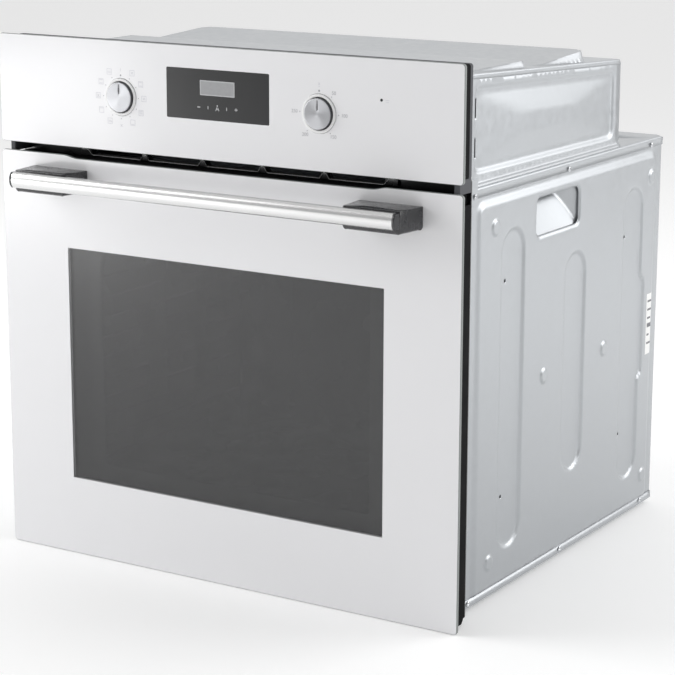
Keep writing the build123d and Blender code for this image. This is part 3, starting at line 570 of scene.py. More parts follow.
def door_outline(dip):
    """Outline of the door glass: a rounded rectangle whose top edge sinks by the dip between two slopes."""
    loop = rounded((DOOR_LOW[0], DOOR_HIGH[0]), (DOOR_LOW[2], DOOR_HIGH[2]), GLASS_CORNER)
    right = np.linspace(DIP_HALF + 20, DIP_HALF - DIP_RUN - 4, 34)
    along = np.concatenate([right, -right[::-1]])
    top = np.stack([along, DOOR_HIGH[2] - dip * ramp(DIP_HALF - np.abs(along), DIP_RUN)], -1)
    corner = len(loop) // 4     # points of the first corner, at the top right
    return np.concatenate([loop[:corner], top, loop[corner:]])


def window_glass(name, density):
    """Smoked float glass: dark, mirror smooth and half clear; a metal oxide film makes its gloss strong."""
    return finish(name, "#242528", (0.2, 0.25), 0.05, 150.0, 6.0, 0.0004, alpha=density, ior=2.1)


class OVEN_OT_door_glass(bpy.types.Operator):
    """Front glass of the door: white print round a smoked window, with ground edges"""

    bl_idname = "oven.door_glass"
    bl_label = "Door glass"

    def execute(self, context):
        front = context.scene.oven_front
        half, low, high = front.window_half, front.window_low, front.window_high
        window = np.array([(half, low), (half, high), (-half, high), (-half, low)])
        parts = plate(door_outline(front.dip_depth), (DOOR_LOW[1], DOOR_HIGH[1]), 0.5,
                      zones=[(1, window)], edge_zone=2)
        smoked = window_glass("Float glass, smoked", front.smoke)
        # Ground and washed glass edge: pale grey-green and matt.
        ground = finish("Float glass, ground edge", "#8B908F", (0.35, 0.5), 0.02, 8.0, 0.5, 0.004)
        piece("door_glass", make_mesh("door_glass", parts, crease=15),
              [FINISHES["white_glass"], smoked, ground], "door", ["door_outer_glass"])
        return {"FINISHED"}


class OVEN_OT_inner_panes(bpy.types.Operator):
    """Middle and inner panes of the door; the inner one has a black printed border"""

    bl_idname = "oven.inner_panes"
    bl_label = "Inner panes"

    def execute(self, context):
        front = context.scene.oven_front
        # Ceramic print fired into the glass: dense black with a dull back.
        border = finish("Float glass, printed black", "#08090A", (0.1, 0.2), 0.1, 60.0, 3.0, 0.001, coat=0.6)
        clear = FINISHES["clear_glass"]
        for node, (half, low, high) in (("door_middle_glass", MIDDLE_FIELD),
                                        ("door_inner_glass", (front.clear_half, *INNER_FIELD_Z))):
            lowest, highest = edges_of(node)
            outline = rounded((lowest[0], highest[0]), (lowest[2], highest[2]), 3.0)
            field = rounded((-half, half), (low, high), 6.0)
            parts = plate(outline, (lowest[1], highest[1]), 0.4, zones=[(1, field)])
            piece(node.replace("door", "pane"), make_mesh(node, parts, crease=15), [border, clear], "door",
                  [node])
        return {"FINISHED"}


class OVEN_OT_panel_glass(bpy.types.Operator):
    """Front glass of the control panel with its bores and its dark display window"""

    bl_idname = "oven.panel_glass"
    bl_label = "Control panel glass"

    def execute(self, context):
        outline = rounded((PANEL_LOW[0], PANEL_HIGH[0]), (PANEL_LOW[2], PANEL_HIGH[2]), GLASS_CORNER)
        holes = [circle(x, KNOB_Z, BEZEL_R + 0.3, 64) for x in (-KNOB_X, KNOB_X)]
        holes.append(circle(*INDICATOR, 1.6, 20))
        display = rounded((-DISPLAY_X, DISPLAY_X), DISPLAY_Z, 1.5, 4)
        parts = plate(outline, (PANEL_LOW[1], PANEL_HIGH[1]), 0.5, holes, [(1, display)], 2)
        # Dense smoke print behind the glass: black with the same mirror skin as the white.
        dark = finish("Float glass, display window", "#151618", (0.2, 0.25), 0.05, 60.0, 6.0, 0.0004,
                      ior=1.55)
        piece("panel_glass", make_mesh("panel_glass", parts, crease=15),
              [FINISHES["white_glass"], dark, bpy.data.materials["Float glass, ground edge"]],
              "cabinet", ["control_panel_glass"])
        return {"FINISHED"}


# ---------------------------------------------------------------- printed marks

def printed(loops, depth=0.04):
    """Flat printed shapes on the front glass, each a thin plate over its own loop."""
    face = GLASS_FRONT - depth
    return [part for loop in loops for part in plate(loop, (face, GLASS_FRONT + 0.01))]


def bar(x, z, width, height, turn=0.0):
    """Rectangle about a centre, turned anticlockwise."""
    corner = np.array([(1, -1), (1, 1), (-1, 1), (-1, -1)]) * (width / 2, height / 2)
    spin = np.array([(cos(turn), sin(turn)), (-sin(turn), cos(turn))])
    return corner @ spin + (x, z)


def frame_bars(x, z, width, height, line):
    """Four thin bars that make a rectangle's border."""
    return [bar(x, z + side * (height - line) / 2, width, line) for side in (-1, 1)] + [
        bar(x + side * (width - line) / 2, z, line, height - 2 * line) for side in (-1, 1)]


def lettered(words, size):
    """Thin solid letters: each word is set as text, made a mesh, and then placed on the glass."""
    parts = []
    for text, x, z in words:
        curve = bpy.data.curves.new("word", "FONT")
        curve.body = text
        curve.size = size
        curve.align_x = curve.align_y = "CENTER"
        curve.extrude = 0.02
        curve.resolution_u = 3
        setting = bpy.data.objects.new("word", curve)
        bpy.context.scene.collection.objects.link(setting)
        shape = bpy.data.meshes.new_from_object(setting)
        points = np.empty(len(shape.vertices) * 3)
        shape.vertices.foreach_get("co", points)
        points = points.reshape(-1, 3)
        shape.calc_loop_triangles()
        faces = np.empty(len(shape.loop_triangles) * 3, np.int32)
        shape.loop_triangles.foreach_get("vertices", faces)
        placed = np.stack([x + points[:, 0], GLASS_FRONT - 0.02 - points[:, 2], z + points[:, 1]], -1)
        parts.append((placed, faces.reshape(-1, 3), 0))
        bpy.data.objects.remove(setting)
        bpy.data.meshes.remove(shape)
        bpy.data.curves.remove(curve)
    return parts


def around(x, angle, radius):
    """Point beside a control: clockwise from the top."""
    turn = radians(angle)
    return x + radius * sin(turn), KNOB_Z + radius * cos(turn)


DOT_RING, SIGN_RING, ICON_RING = 23.6, 29.5, 31.0   # distances of the marks from a control's middle


def function_icons():
    """Faint square symbols of heating modes round the left control, at each hour but twelve."""
    loops = []
    for number in range(1, 12):
        x, z = around(-KNOB_X, 30 * number, ICON_RING)
        size, line = 6.4, 0.5
        if number != 6:
            loops += frame_bars(x, z, size, size, line)
        if number in (2, 4, 8, 10):
            loops.append(bar(x, z + 1.8, size - 2.2, 0.6))
        if number in (2, 5, 9, 10):
            loops.append(bar(x, z - 1.8, size - 2.2, 0.6))
        if number in (1, 3, 6, 9):
            loops += [bar(x, z, 3.6, 0.6, radians(45)), bar(x, z, 3.6, 0.6, radians(-45))]
        if number in (4, 7, 11):
            loops += [bar(x + shift, z - 0.4, 0.6, 2.6) for shift in (-1.4, 0, 1.4)]
    return loops


class OVEN_OT_marks(bpy.types.Operator):
    """Dots, numbers and symbols printed round the controls"""

    bl_idname = "oven.marks"
    bl_label = "Printed marks"

    def execute(self, context):
        # Screen print on glass: slightly raised, dull grey.
        ink = finish("Screen print, grey", "#A3A3A8", (0.4, 0.55), 0.06, 1.2, 0.3, 0.004)
        faint = finish("Screen print, pale grey", "#CFCFD5", (0.4, 0.55), 0.04, 1.2, 0.3, 0.004)
        dots = [circle(*around(-KNOB_X, 30 * step, DOT_RING), 1.0 if step == 0 else 0.55, 16)
                for step in range(12)]
        dots += [circle(*around(KNOB_X, angle, DOT_RING), size, 16)
                 for angle, size in ((0, 1.15), (40, 0.6), (90, 0.7), (145, 0.6), (218, 0.6), (272, 0.6))]
        piece("dial_dots", make_mesh("dial_dots", printed(dots), crease=30), [ink], "cabinet")
        words = [("50", 17.9, 22.1), ("100", 30.6, -0.3), ("150", 17.2, -22.9), ("200", -17.0, -22.6),
                 ("250", -30.2, 0.8)]
        words = [(text, KNOB_X + x, KNOB_Z + z) for text, x, z in words]
        piece("dial_numbers", make_mesh("dial_numbers", lettered(words, 5.2), False, 30), [ink],
              "cabinet")
        symbols = function_icons()
        x, z = around(KNOB_X, 0, SIGN_RING)
        symbols += [bar(x, z + 1.2, 3.4, 0.5, radians(55)), bar(x, z + 1.2, 3.4, 0.5, radians(-55)),
                    bar(x, z - 1.6, 1.6, 0.5)]
        symbols += [bar(INDICATOR[0] + 7, INDICATOR[1], 4.4, 0.5),
                    bar(INDICATOR[0] + 7, INDICATOR[1] - 2, 3.4, 0.5)]
        symbols.append(bar(*around(-KNOB_X, 0, SIGN_RING), 0.5, 3.4))
        piece("dial_symbols", make_mesh("dial_symbols", printed(symbols), crease=30), [faint], "cabinet")
        return {"FINISHED"}


CLOCK_Z, CLOCK_SIZE, CLOCK_RIM = 546.75, (42.4, 13.9), 1.0
TOUCH_Z = 525.9


class OVEN_OT_display(bpy.types.Operator):
    """Liquid crystal field and touch symbols of the clock"""

    bl_idname = "oven.display"
    bl_label = "Clock display"

    def execute(self, context):
        # Liquid crystal cell with no digits lit: even mid grey with the faint tooth of its polariser.
        cell = finish("Liquid crystal cell, off", "#9FA0A2", (0.15, 0.22), 0.03, 3.0, 0.3, 0.002, coat=0.5)
        # Cut edge of the polariser film: a thin pale line round the cell.
        rim = finish("Polariser edge", "#BDBEC0", (0.2, 0.3), 0.02, 3.0, 0.3, 0.002, coat=0.5)
        # Screen print in a pale tone: even and dull, so that it stands out on the smoked glass.
        pale = finish("Touch print, pale", "#D2D3D5", (0.25, 0.35), 0.03, 2.0, 0.3, 0.003)
        width, height = CLOCK_SIZE
        field = [bar(0, CLOCK_Z, width, height)]
        border = frame_bars(0, CLOCK_Z, width + 2 * CLOCK_RIM, height + 2 * CLOCK_RIM, CLOCK_RIM)
        z = TOUCH_Z
        minus, plus = [bar(-24, z, 3.8, 0.8)], [bar(24, z, 3.8, 0.8), bar(24, z, 0.8, 3.2)]
        strokes = [bar(side * 12, z, 0.7, 3.4) for side in (-1, 1)]
        peak = [bar(-1.3, z - 0.8, 0.6, 4.2, radians(-24)), bar(1.3, z - 0.8, 0.6, 4.2, radians(24)),
                bar(0, z - 1.2, 2.2, 0.6), circle(0, z + 2.6, 0.8, 12)]
        for name, loops, material in (("clock_cell", field, cell), ("clock_rim", border, rim),
                                      ("touch_symbols", minus + plus + strokes + peak, pale)):
            piece(name, make_mesh(name, printed(loops, 0.05), crease=30), [material], "cabinet")
        return {"FINISHED"}


# ---------------------------------------------------------------- controls

GROOVE_FROM, GROOVE_TO = 3.4, 14.6    # ends of the pointer groove, from the middle of the cap
GROOVE_DEPTH = 0.55
EDGE_SHADE_WIDTH = 1.8             # width of the painted shade on the edge just behind the face of the cap


def cap_points(centre):
    """Cap of a control: a turned shape whose face has a groove from near its rim to near its centre."""
    face, back = CAP_LOW[1], CAP_HIGH[1]
    bend = np.linspace(0, pi / 2, 6)
    rim = np.stack([CAP_R - 0.9 + 0.9 * np.sin(bend), face + 0.9 - 0.9 * np.cos(bend)], -1)
    radii = np.array([0.01, 2.0, 3.4, 4.0, 4.6, 8.0, 10.5, 13.0, 14.0, 14.5, 15.0])
    flat = np.stack([radii, np.full(len(radii), face)], -1)
    side = np.array([(CAP_R, face + EDGE_SHADE_WIDTH), (CAP_R, face + 4), (CAP_R, back), (CAP_R - 2, back)])
    profile = np.concatenate([flat, rim, side])
    near = np.linspace(-1, 1, 13) * 0.2
    turn = np.concatenate([pi / 2 + near, np.linspace(pi / 2 + 0.26, 5 * pi / 2 - 0.26, 84)])
    radius, depth = profile.T
    x = radius[:, None] * np.cos(turn)
    z = radius[:, None] * np.sin(turn)
    groove = GROOVE_DEPTH * ramp(0.95 - np.abs(x), 0.5)
    groove = groove * ramp(z - GROOVE_FROM, 0.8) * ramp(GROOVE_TO - z, 0.8)
    y = depth[:, None] + groove * (depth[:, None] < face + 0.01)
    points = np.stack([centre + x, y, KNOB_Z + z], -1)
    return points, turn, radius


class OVEN_OT_controls(bpy.types.Operator):
    """Spun metal caps with a pointer groove, and the white rings round them"""

    bl_idname = "oven.controls"
    bl_label = "Controls"

    def execute(self, context):
        spun = spun_metal("Aluminium, spun", "#B4B5B8")
        # Matt dark grey for the groove floor, also used as painted shade on the edge of the cap just behind
        # its face.
        line = finish("Aluminium, dark groove and painted edge shade", "#55565A", (0.4, 0.5), 0.05, 1.0, 0.3, 0.003)
        for name, centre in (("selector", -KNOB_X), ("thermostat", KNOB_X)):
            points, turn, radius = cap_points(centre)
            part = lofted(points, (False, False))
            angle = np.append(turn, turn[0] + 2 * pi) / (2 * pi)
            grid = np.stack(np.meshgrid(angle, radius / CAP_R), -1)
            corners = [grid[:-1, :-1], grid[:-1, 1:], grid[1:, 1:], grid[1:, :-1]]
            uv = np.stack(corners, 2).reshape(-1, 2)
            # The groove floor is dark grey, and the edge of the cap just behind its bright face gets the same
            # dark grey as painted shade.
            x, y, z = (part[0][part[1]].mean(1) - (centre, CAP_LOW[1], KNOB_Z)).T
            in_groove = (np.abs(x) < 0.55) & (z > GROOVE_FROM + 0.6) & (z < GROOVE_TO - 0.4) & (y < 0.7)
            edge_shade = (np.hypot(x, z) > CAP_R - 0.3) & (y < EDGE_SHADE_WIDTH)
            zone = (in_groove | edge_shade).astype(int)
            mesh = make_mesh(name + "_cap", [(part[0], part[1], zone)], False, 35, uv)
            piece(name + "_cap", mesh, [spun, line], name + "_knob", [name + "_knob"])
        front, back, bore = GLASS_FRONT - 1.4, -18, CAP_R + 0.8
        bend = np.linspace(0, pi / 2, 6)
        outer = np.stack([BEZEL_R - 1 + np.sin(bend), front + 1 - np.cos(bend)], -1)
        bend = bend[::-1]
        inner = np.stack([CAP_R + 1.5 - 0.7 * np.sin(bend), front + 0.7 - 0.7 * np.cos(bend)], -1)
        profile = np.concatenate([[(bore, back)], inner, outer, [(BEZEL_R, back), (bore, back)]])
        parts = [lofted(turned(profile, (centre, KNOB_Z)), (False, False)) for centre in (-KNOB_X, KNOB_X)]
        piece("control_rings", make_mesh("control_rings", parts), [FINISHES["white_plastic"]], "cabinet",
              ["knob_bezels"])
        return {"FINISHED"}


# ---------------------------------------------------------------- handle

def bar_section(inset):
    """Closed outline of the handle bar in Y and Z: a crowned front and a flat back with small radii."""
    rise = (BAR_HIGH[2] - BAR_LOW[2]) / 2
    middle = (BAR_HIGH[2] + BAR_LOW[2]) / 2
    at = np.linspace(-1, 1, 17)
    crown = np.stack([BAR_LOW[1] + 3.0 * np.abs(at) ** 2.6, middle + at * (rise - 0.6)], -1)
    back = rounded((BAR_LOW[1] + 3.6, BAR_HIGH[1]), (BAR_LOW[2], BAR_HIGH[2]), 0.8, 4)
    rear = np.concatenate([back[15:], back[:5]])
    top = np.array([(BAR_LOW[1] + 3.7, BAR_HIGH[2])])
    foot = np.array([(BAR_LOW[1] + 3.7, BAR_LOW[2])])
    loop = np.concatenate([foot, rear, top, crown[::-1]])
    return drawn_in(loop, inset)


STAND_FROM = (176.0, 180.2)   # inner edge of a stand-off at the door and at the bar


class OVEN_OT_handle(bpy.types.Operator):
    """Crowned handle bar with black end caps on two tapered stand-offs"""

    bl_idname = "oven.handle"
    bl_label = "Handle"

    def execute(self, context):
        end = BAR_HIGH[0]
        joint = end - 3.0       # where the end cap meets the bar
        rings = [along_x(bar_section(0.0), x) for x in np.linspace(-joint, joint, 9)]
        piece("handle_grip", make_mesh("handle_grip", [lofted(rings)], crease=28),
              [FINISHES["handle_steel"]], "door", ["handle_bar"])
        cap_rings = [along_x(bar_section(inset), x) for inset, x in
                     ((0.15, joint), (0.0, joint + 0.3), (0.0, end - 0.5), (0.5, end))]
        cap = lofted(cap_rings)
        piece("handle_ends", make_mesh("handle_ends", [cap, mirrored(cap)], crease=28),
              [FINISHES["bracket_black"]], "door")
        low, high = edges_of("handle_brackets")
        root, tip = STAND_FROM
        plan = np.array([(root, high[1]), (tip, low[1]), (high[0] - 5, low[1]), (high[0], high[1])])
        plan = rounded_corners(plan, 1.2)
        levels = ((2.6, low[2]), (0.9, low[2] + 1.2), (0.0, low[2] + 3.0), (0.0, high[2] - 0.7),
                  (0.2, high[2] - 0.2), (0.7, high[2]))
        rings = [np.column_stack([drawn_in(plan, inset), np.full(len(plan), z)]) for inset, z in levels]
        stand = lofted(rings)
        piece("handle_stands", make_mesh("handle_stands", [stand, mirrored(stand)], crease=28),
              [FINISHES["bracket_black"]], "door", ["handle_brackets"])
        return {"FINISHED"}


def rounded_corners(corners, radius, arc=4):
    """Loop with each corner cut back by the radius and bridged by a curve of second degree."""
    before = np.roll(corners, 1, 0) - corners
    after = np.roll(corners, -1, 0) - corners
    start = corners + radius * before / np.hypot(*before.T)[:, None]
    end = corners + radius * after / np.hypot(*after.T)[:, None]
    t = np.linspace(0, 1, arc + 1)[None, :, None]
    bend = (1 - t) ** 2 * start[:, None] + 2 * t * (1 - t) * corners[:, None] + t ** 2 * end[:, None]
    return bend.reshape(-1, 2)


# ---------------------------------------------------------------- gap over the door

OUTLET_PITCH, OUTLET_FOOT, OUTLET_HEAD = 78.0, 33.0, 38.4   # outlets: pitch, half widths low and high
LIP_END = 204.0             # half length of the lip painted pale as a highlight
BLOCK_X, BLOCK_Z = (283.5, 290.0), (457.8, 473.0)
BLOCK_Y = (-26.0, -1.9)
BAND_FRONT = -7.0           # front edge of the grey band round the tray


class OVEN_OT_louvre(bpy.types.Operator):
    """Strip with five air outlets in the gap over the door, its lips painted pale as a highlight, and the end
    blocks
    """

    bl_idname = "oven.louvre"
    bl_label = "Air outlets"

    def execute(self, context):
        low, high = edges_of("vent_louvre")
        foot = low[2] + 0.6
        holes = []
        for step in range(-2, 3):
            corners = np.array([(OUTLET_FOOT, foot), (OUTLET_HEAD, high[2] - 3), (-OUTLET_HEAD, high[2] - 3),
                                (-OUTLET_FOOT, foot)])
            holes.append(rounded_corners(corners + (OUTLET_PITCH * step, 0), 2.0))
        outline = rounded((low[0], high[0]), (low[2], high[2]), 2.0, 4)
        strip = plate(outline, (low[1], high[1]), 0.3, holes)
        piece("louvre", make_mesh("louvre", strip, crease=30), [FINISHES["black_enamel"]], "cabinet",
              ["vent_louvre"])
        # The lip runs along the foot of each outlet and rises between them, with a longer rise at its ends.
        x = np.linspace(-LIP_END, LIP_END, 817)
        off = np.abs(x - OUTLET_PITCH * np.clip(np.round(x / OUTLET_PITCH), -2, 2))
        reach = np.where(np.abs(x) > 2 * OUTLET_PITCH, 9.0, 6.0)
        z = foot + 6.2 * ramp(off - OUTLET_FOOT + 0.5, reach * 1.02) ** 0.8
        turn = np.arange(6) * pi / 3
        section = 0.5 * np.stack([np.zeros(6), np.cos(turn), np.sin(turn)], -1)
        path = np.stack([x, np.full(len(x), low[1] - 0.5), z], -1)
        lips = lofted(path[:, None] + section)
        # Painted highlight: the lip is given a near-white colour for the thin bright line along the outlets.
        edge = finish("Lip, painted highlight", "#F2F2F2", (0.3, 0.4), 0.05, 6.0, 0.5, 0.004)
        piece("louvre_lip_highlights", make_mesh("louvre_lip_highlights", [lips]), [edge], "cabinet")
        loop = rounded(BLOCK_X, BLOCK_Z, 1.2, 4)
        front, back = BLOCK_Y
        block = lofted([along_y(drawn_in(loop, inset), y)
                        for inset, y in ((0.8, front), (0.0, front + 0.8), (0.0, back))])
        # Grey moulded block that closes each end of the gap.
        piece("gap_blocks", make_mesh("gap_blocks", [block, mirrored(block)], crease=30),
              [FINISHES["grey_plastic"]], "cabinet")
        tray_low, tray_high = edges_of("control_panel_tray")
        around_tray = rounded((tray_low[0] - 0.2, tray_high[0] + 0.2),
                              (tray_low[2] - 0.2, tray_high[2] + 0.2), 3.2)
        band = plate(around_tray, (BAND_FRONT, tray_high[1] - 0.1), 0.2, [drawn_in(around_tray, 1.0)])
        # Grey band round the back of the tray that holds the panel glass.
        piece("tray_band", make_mesh("tray_band", band, crease=30), [FINISHES["grey_plastic"]], "cabinet")
        return {"FINISHED"}


# ---------------------------------------------------------------- pressed sheets

FIELD_Y, FIELD_Z = (38.0, 491.0), (-40.0, 441.0)
RIBS = ((120.0, 44.5, 404.0), (272.5, 93.5, 353.5), (425.5, 44.5, 404.5))
RIB_R = 28.5
DIMPLES = ((77, 408.5), (472, 409.5), (197, 223.5), (351, 223.5), (74, 40.5), (472, 39.5))
PINS = ((105.8, 346.5), (405.6, 346.5), (105, 107), (405, 106.5), (27.6, 414), (27.6, 40.5))
GRIP_Y, GRIP_Z, GRIP_TOP, GRIP_DEPTH = (174.0, 278.0), (383.5, 425.5), 437.0, 25.0
GAP_Z, GAP_SPANS = (10.7, 12.1), ((42, 240), (262, 458))   # shadow gaps over the folded base


def jog(z):
    """How far the rear edge of the rearmost rib steps back at a height: 10 mm between two soft steps."""
    return 10 * ramp(z - 162.5, 12) * ramp(295.5 - z, 12)


def rib_inset(y, z, rib):
    """Distance inside an upright rib with round ends, negative outside it."""
    middle, low, high = rib
    if rib is RIBS[2]:
        y = np.where(y > middle, middle + np.maximum(0, y - middle - jog(z)), y)
    return RIB_R - np.hypot(y - middle, z - np.clip(z, low + RIB_R, high - RIB_R))


def side_height(y, z, field, dimple):
    """Height of the pressed side over its flat border: the field, less the ribs, plus the dimples."""
    height = field * ramp(box_inset(y, z, FIELD_Y, FIELD_Z, 16), 9) * ramp(z - 10.4, 1.6)
    for rib in RIBS:
        height = height - field * ramp(rib_inset(y, z, rib), 6.4)
    for cy, cz in DIMPLES:
        height = height + dimple * ramp(10.5 - np.hypot(y - cy, z - cz), 4.5)
    lip = -box_inset(y, z, GRIP_Y, GRIP_Z, 8)
    return height - 2.0 * ramp(3.5 - lip, 3.5) * (lip < 3.5)


def rib_loop(rib, inset):
    """Outline of a rib drawn in by an inset."""
    middle, low, high = rib
    radius = max(RIB_R - inset, 1.0)
    loop = spaced(rounded((middle - radius, middle + radius), (low + inset, high - inset), radius, 14), 4.5)
    if rib is RIBS[2]:
        loop[:, 0] += np.where(loop[:, 0] > middle, jog(loop[:, 1]), 0)
    return loop


def side_scatter():
    """Points that follow each pressed feature, and a wide grid over the flats between them."""
    lines = [spaced(rounded((FIELD_Y[0] + t, FIELD_Y[1] - t), (-20, FIELD_Z[1] - t), max(16 - t, 4), 8), 6)
             for t in (-1.5, 0, 1.5, 3, 4.5, 6, 7.5, 9, 10.5)]
    lines += [rib_loop(rib, t) for rib in RIBS for t in (-1.2, 0, 1.1, 2.1, 3.2, 4.3, 5.3, 6.4, 7.8)]
    lines += [circle(y, z, radius, 28) for y, z in DIMPLES for radius in (3, 5, 6, 7, 8, 9, 10, 11, 12.5)]
    lines += [spaced(drawn_in(rounded(GRIP_Y, GRIP_Z, 8), -t), 4) for t in (0.7, 1.4, 2.1, 2.8, 3.5, 5)]
    lines += [circle(y, z, 3.4, 14) for y, z in PINS]
    lines += level((10.1, 10.5, 12.3, 12.7, 13.4), np.arange(6, 500, 6.0))
    grid = np.stack(np.meshgrid(np.arange(6, 504, 12.0), np.arange(4, 452, 12.0)), -1).reshape(-1, 2)
    points = np.vstack(lines + [grid])
    edge = (points[:, 0] > 1) & (points[:, 0] < 503.5) & (points[:, 1] > 2) & (points[:, 1] < 453.4)
    return points[edge]


def folded(run, flat, radius):
    """Path that runs straight to the flat's end, round a quarter bend and on: distance out and down."""
    turn = np.clip((run - flat) / radius, 0, pi / 2)
    out = np.minimum(run, flat) + radius * np.sin(turn)
    down = radius * (1 - np.cos(turn)) + np.maximum(0, run - flat - radius * pi / 2)
    return out, down


class OVEN_OT_side_sheets(bpy.types.Operator):
    """Pressed side panels with ribs, dimples and grip openings, and the scoops behind these"""

    bl_idname = "oven.side_sheets"
    bl_label = "Side panels"

    def execute(self, context):
        body = context.scene.oven_body
        bend, lip = 1.5, 12.0
        flat_end = SIDE_HIGH[1] - 0.2 - bend
        low, high = SIDE_LOW[2], SIDE_HIGH[2]
        outline = spaced(rounded((SIDE_LOW[1], flat_end + lip), (low, high), 0.8, 2), 6)
        holes = [spaced(rounded(GRIP_Y, GRIP_Z, 8), 4)] + [circle(y, z, 2.0, 14) for y, z in PINS]
        holes += [spaced(rounded(span, GAP_Z, 0.5, 2), 5) for span in GAP_SPANS]
        rear = upright(flat_end + np.array([0, 0.6, 1.2, 1.8, 2.4, 6]), np.arange(low + 4, high - 2, 8.0))
        flat, faces = triangulated(outline, holes, (), [side_scatter(), *rear])
        height = side_height(flat[:, 0], flat[:, 1], body.field_height, body.dimple_height)
        out, down = folded(flat[:, 0], flat_end, bend)
        sheet = (np.stack([FLAT_X + height - down, out, flat[:, 1]], -1), faces, 0)
        # The scoop's floor rises in a curve that flattens as it deepens, and its ends slant inwards.
        rings = []
        for t in np.linspace(0, 1, 15):
            y = (GRIP_Y[0] - 1.2 + 12 * t, GRIP_Y[1] + 1.2 - 46 * t)
            z = (GRIP_Z[0] - 1.2 + 44 * sin(t * pi / 2), GRIP_TOP + 1.0)
            rings.append(along_x(rounded(y, z, 4.0, 5), FLAT_X - 1.1 - GRIP_DEPTH * t))
        mouth = rounded(GRIP_Y, GRIP_Z, 8.0, 5)
        scoop = lofted([along_x(mouth, FLAT_X + 0.3), *rings], (False, True))
        for side, part in (("right", sheet), ("left", mirrored(sheet))):
            pressed("side_sheet_" + side, [part], ["side_panel_" + side])
        pressed("grip_scoops", [scoop, mirrored(scoop)], ["hand_grip_cups"])
        return {"FINISHED"}


LID_FRONT_Z, LID_FALL = 574.5, 18.0 / 390.0   # height at the front, and fall for each mm towards the rear
LID_PADS = ((14.0, 167.0, 7.4, 5.0), (190.0, 320.0, 13.5, 20.0))   # near, far, rise and corner radius
PAD_HALF = 264.0
MOUTH_FRONT, MOUTH_REAR = 41.0, 16.0   # recess of the housing side: its front, and its gap to the rear
HOUSE_SLOT_Y, HOUSE_SLOT_Z, HOUSE_SLOT = (44.6, 47.2), (485.5, 526.5), 20.0
FIELD_RISE, FLARE = 2.6, 3.6           # hipped field in the recess, and the foot's flare


def lid_z(y):
    """Height of the sloping top of the control housing: a straight fall towards the rear."""
    return LID_FRONT_Z - LID_FALL * y


def housing_mouth():
    """Corners of the recess in the side of the housing, from the front foot round to the front head."""
    start, end, low = MOUTH_FRONT, HOUSE_HIGH[1] - MOUTH_REAR, HOUSE_LOW[2]
    return np.array([(start, low + 14), (end, low + 12), (end, lid_z(end + MOUTH_REAR) - 12),
                     (start, lid_z(start) - 14)])


def to_edges(mouth, y, z):
    """Distance inwards from each of the four edges of the recess: the cross product with its direction."""
    after = np.roll(mouth, -1, 0)
    run = (after - mouth) / np.hypot(*(after - mouth).T)[:, None]
    return run[:, :1] * (z[None] - mouth[:, 1:]) - run[:, 1:] * (y[None] - mouth[:, :1])


def soft_least(values, blend):
    """Least of several values, with the corner between them rounded over the blend."""
    return -blend * np.log(np.exp(-values / blend).sum(0))


def housing_side(depth):
    """Pressed side of the housing: a recess with a shallow hipped field in it, and a flared foot."""
    low, near, far = HOUSE_LOW[2], HOUSE_LOW[1] + 0.1, HOUSE_HIGH[1]
    outline = np.array([(near, low), (far, low), (far, lid_z(far) - 1.4), (near, lid_z(near) - 1.4)])
    outline = spaced(outline, 5)
    mouth = housing_mouth()
    slots = [rounded(HOUSE_SLOT_Y, (z, z + HOUSE_SLOT), 0.8, 3) for z in HOUSE_SLOT_Z]
    steps = (-2.6, -1.6, -0.6, 0.4, 1.4, 2.4, 3.4, 5, 6.5, 8, 10, 13, 17, 21, 25, 29, 32, 35)
    lines = [spaced(drawn_in(rounded_corners(mouth, 10, 8), step), 4) for step in steps]
    lines += level(low + np.array([1.6, 2.2, 2.8, 3.4, 4.1]), np.arange(4, far - 2, 5.0))
    grid = np.stack(np.meshgrid(np.arange(8, far - 3, 10.0), np.arange(low + 7, 572, 8.0)), -1)
    grid = grid.reshape(-1, 2)
    apart = to_edges(mouth, *grid.T).min(0)
    points = np.vstack(lines + [grid[(apart > 38) | (apart < -4.5)]])
    flat, faces = triangulated(outline, slots, (), [points[within(drawn_in(outline, 1.5), points)]])
    edge = to_edges(mouth, flat[:, 0], flat[:, 1])
    # The field rises over 24 mm from the long edges and over 95 mm from the ends.
    hips = soft_least((edge - 8) / np.array([(24,), (95,), (24,), (95,)]), 0.1)
    height = FIELD_RISE * np.clip(hips, 0, 1) - depth * ramp(soft_least(edge, 4.0) + 2, 5)
    height = height + FLARE * ramp(low + 4.0 - flat[:, 1], 4.0)
    return np.stack([HOUSE_HIGH[0] + height, flat[:, 0], flat[:, 1]], -1), faces, 0


def housing_top():
    """Sloping lid with two pads that rise towards the rear, and its sides folded down."""
    half, bend, lip = HOUSE_HIGH[0] - 0.5, 1.5, 5.5
    outline = spaced(rounded((-half - lip - 1, half + lip + 1), (LID_LOW[1], LID_HIGH[1]), 0.8, 2), 8)
    steps = (-1.5, 0, 0.8, 1.6, 2.4, 3.2, 4.2, 6)
    lines = [spaced(rounded((step - PAD_HALF, PAD_HALF - step), (start + step, end - step),
                            max(radius - step, 1), 12), 5)
             for start, end, _, radius in LID_PADS for step in steps]
    folds = half + np.array([0, 0.6, 1.2, 1.8, 2.4])
    lines += upright(np.concatenate([-folds, folds]), np.arange(6, 388, 8.0))
    grid = np.stack(np.meshgrid(np.arange(-266, 267, 14.0), np.arange(8, 386, 10.0)), -1)
    points = np.vstack(lines + [grid.reshape(-1, 2)])
    points = points[(points[:, 1] > 2) & (points[:, 1] < 388)]
    flat, faces = triangulated(outline, (), (), [points])
    out, down = folded(np.abs(flat[:, 0]), half, bend)
    x, y = flat.T
    height = lid_z(y) - down
    for start, end, rise, radius in LID_PADS:
        inset = box_inset(x, y, (-PAD_HALF, PAD_HALF), (start, end), radius)
        height = height + rise * np.clip((y - start) / (end - start), 0, 1) * ramp(inset, 3.4)
    return np.stack([np.sign(x) * out, y, height], -1), faces, 0


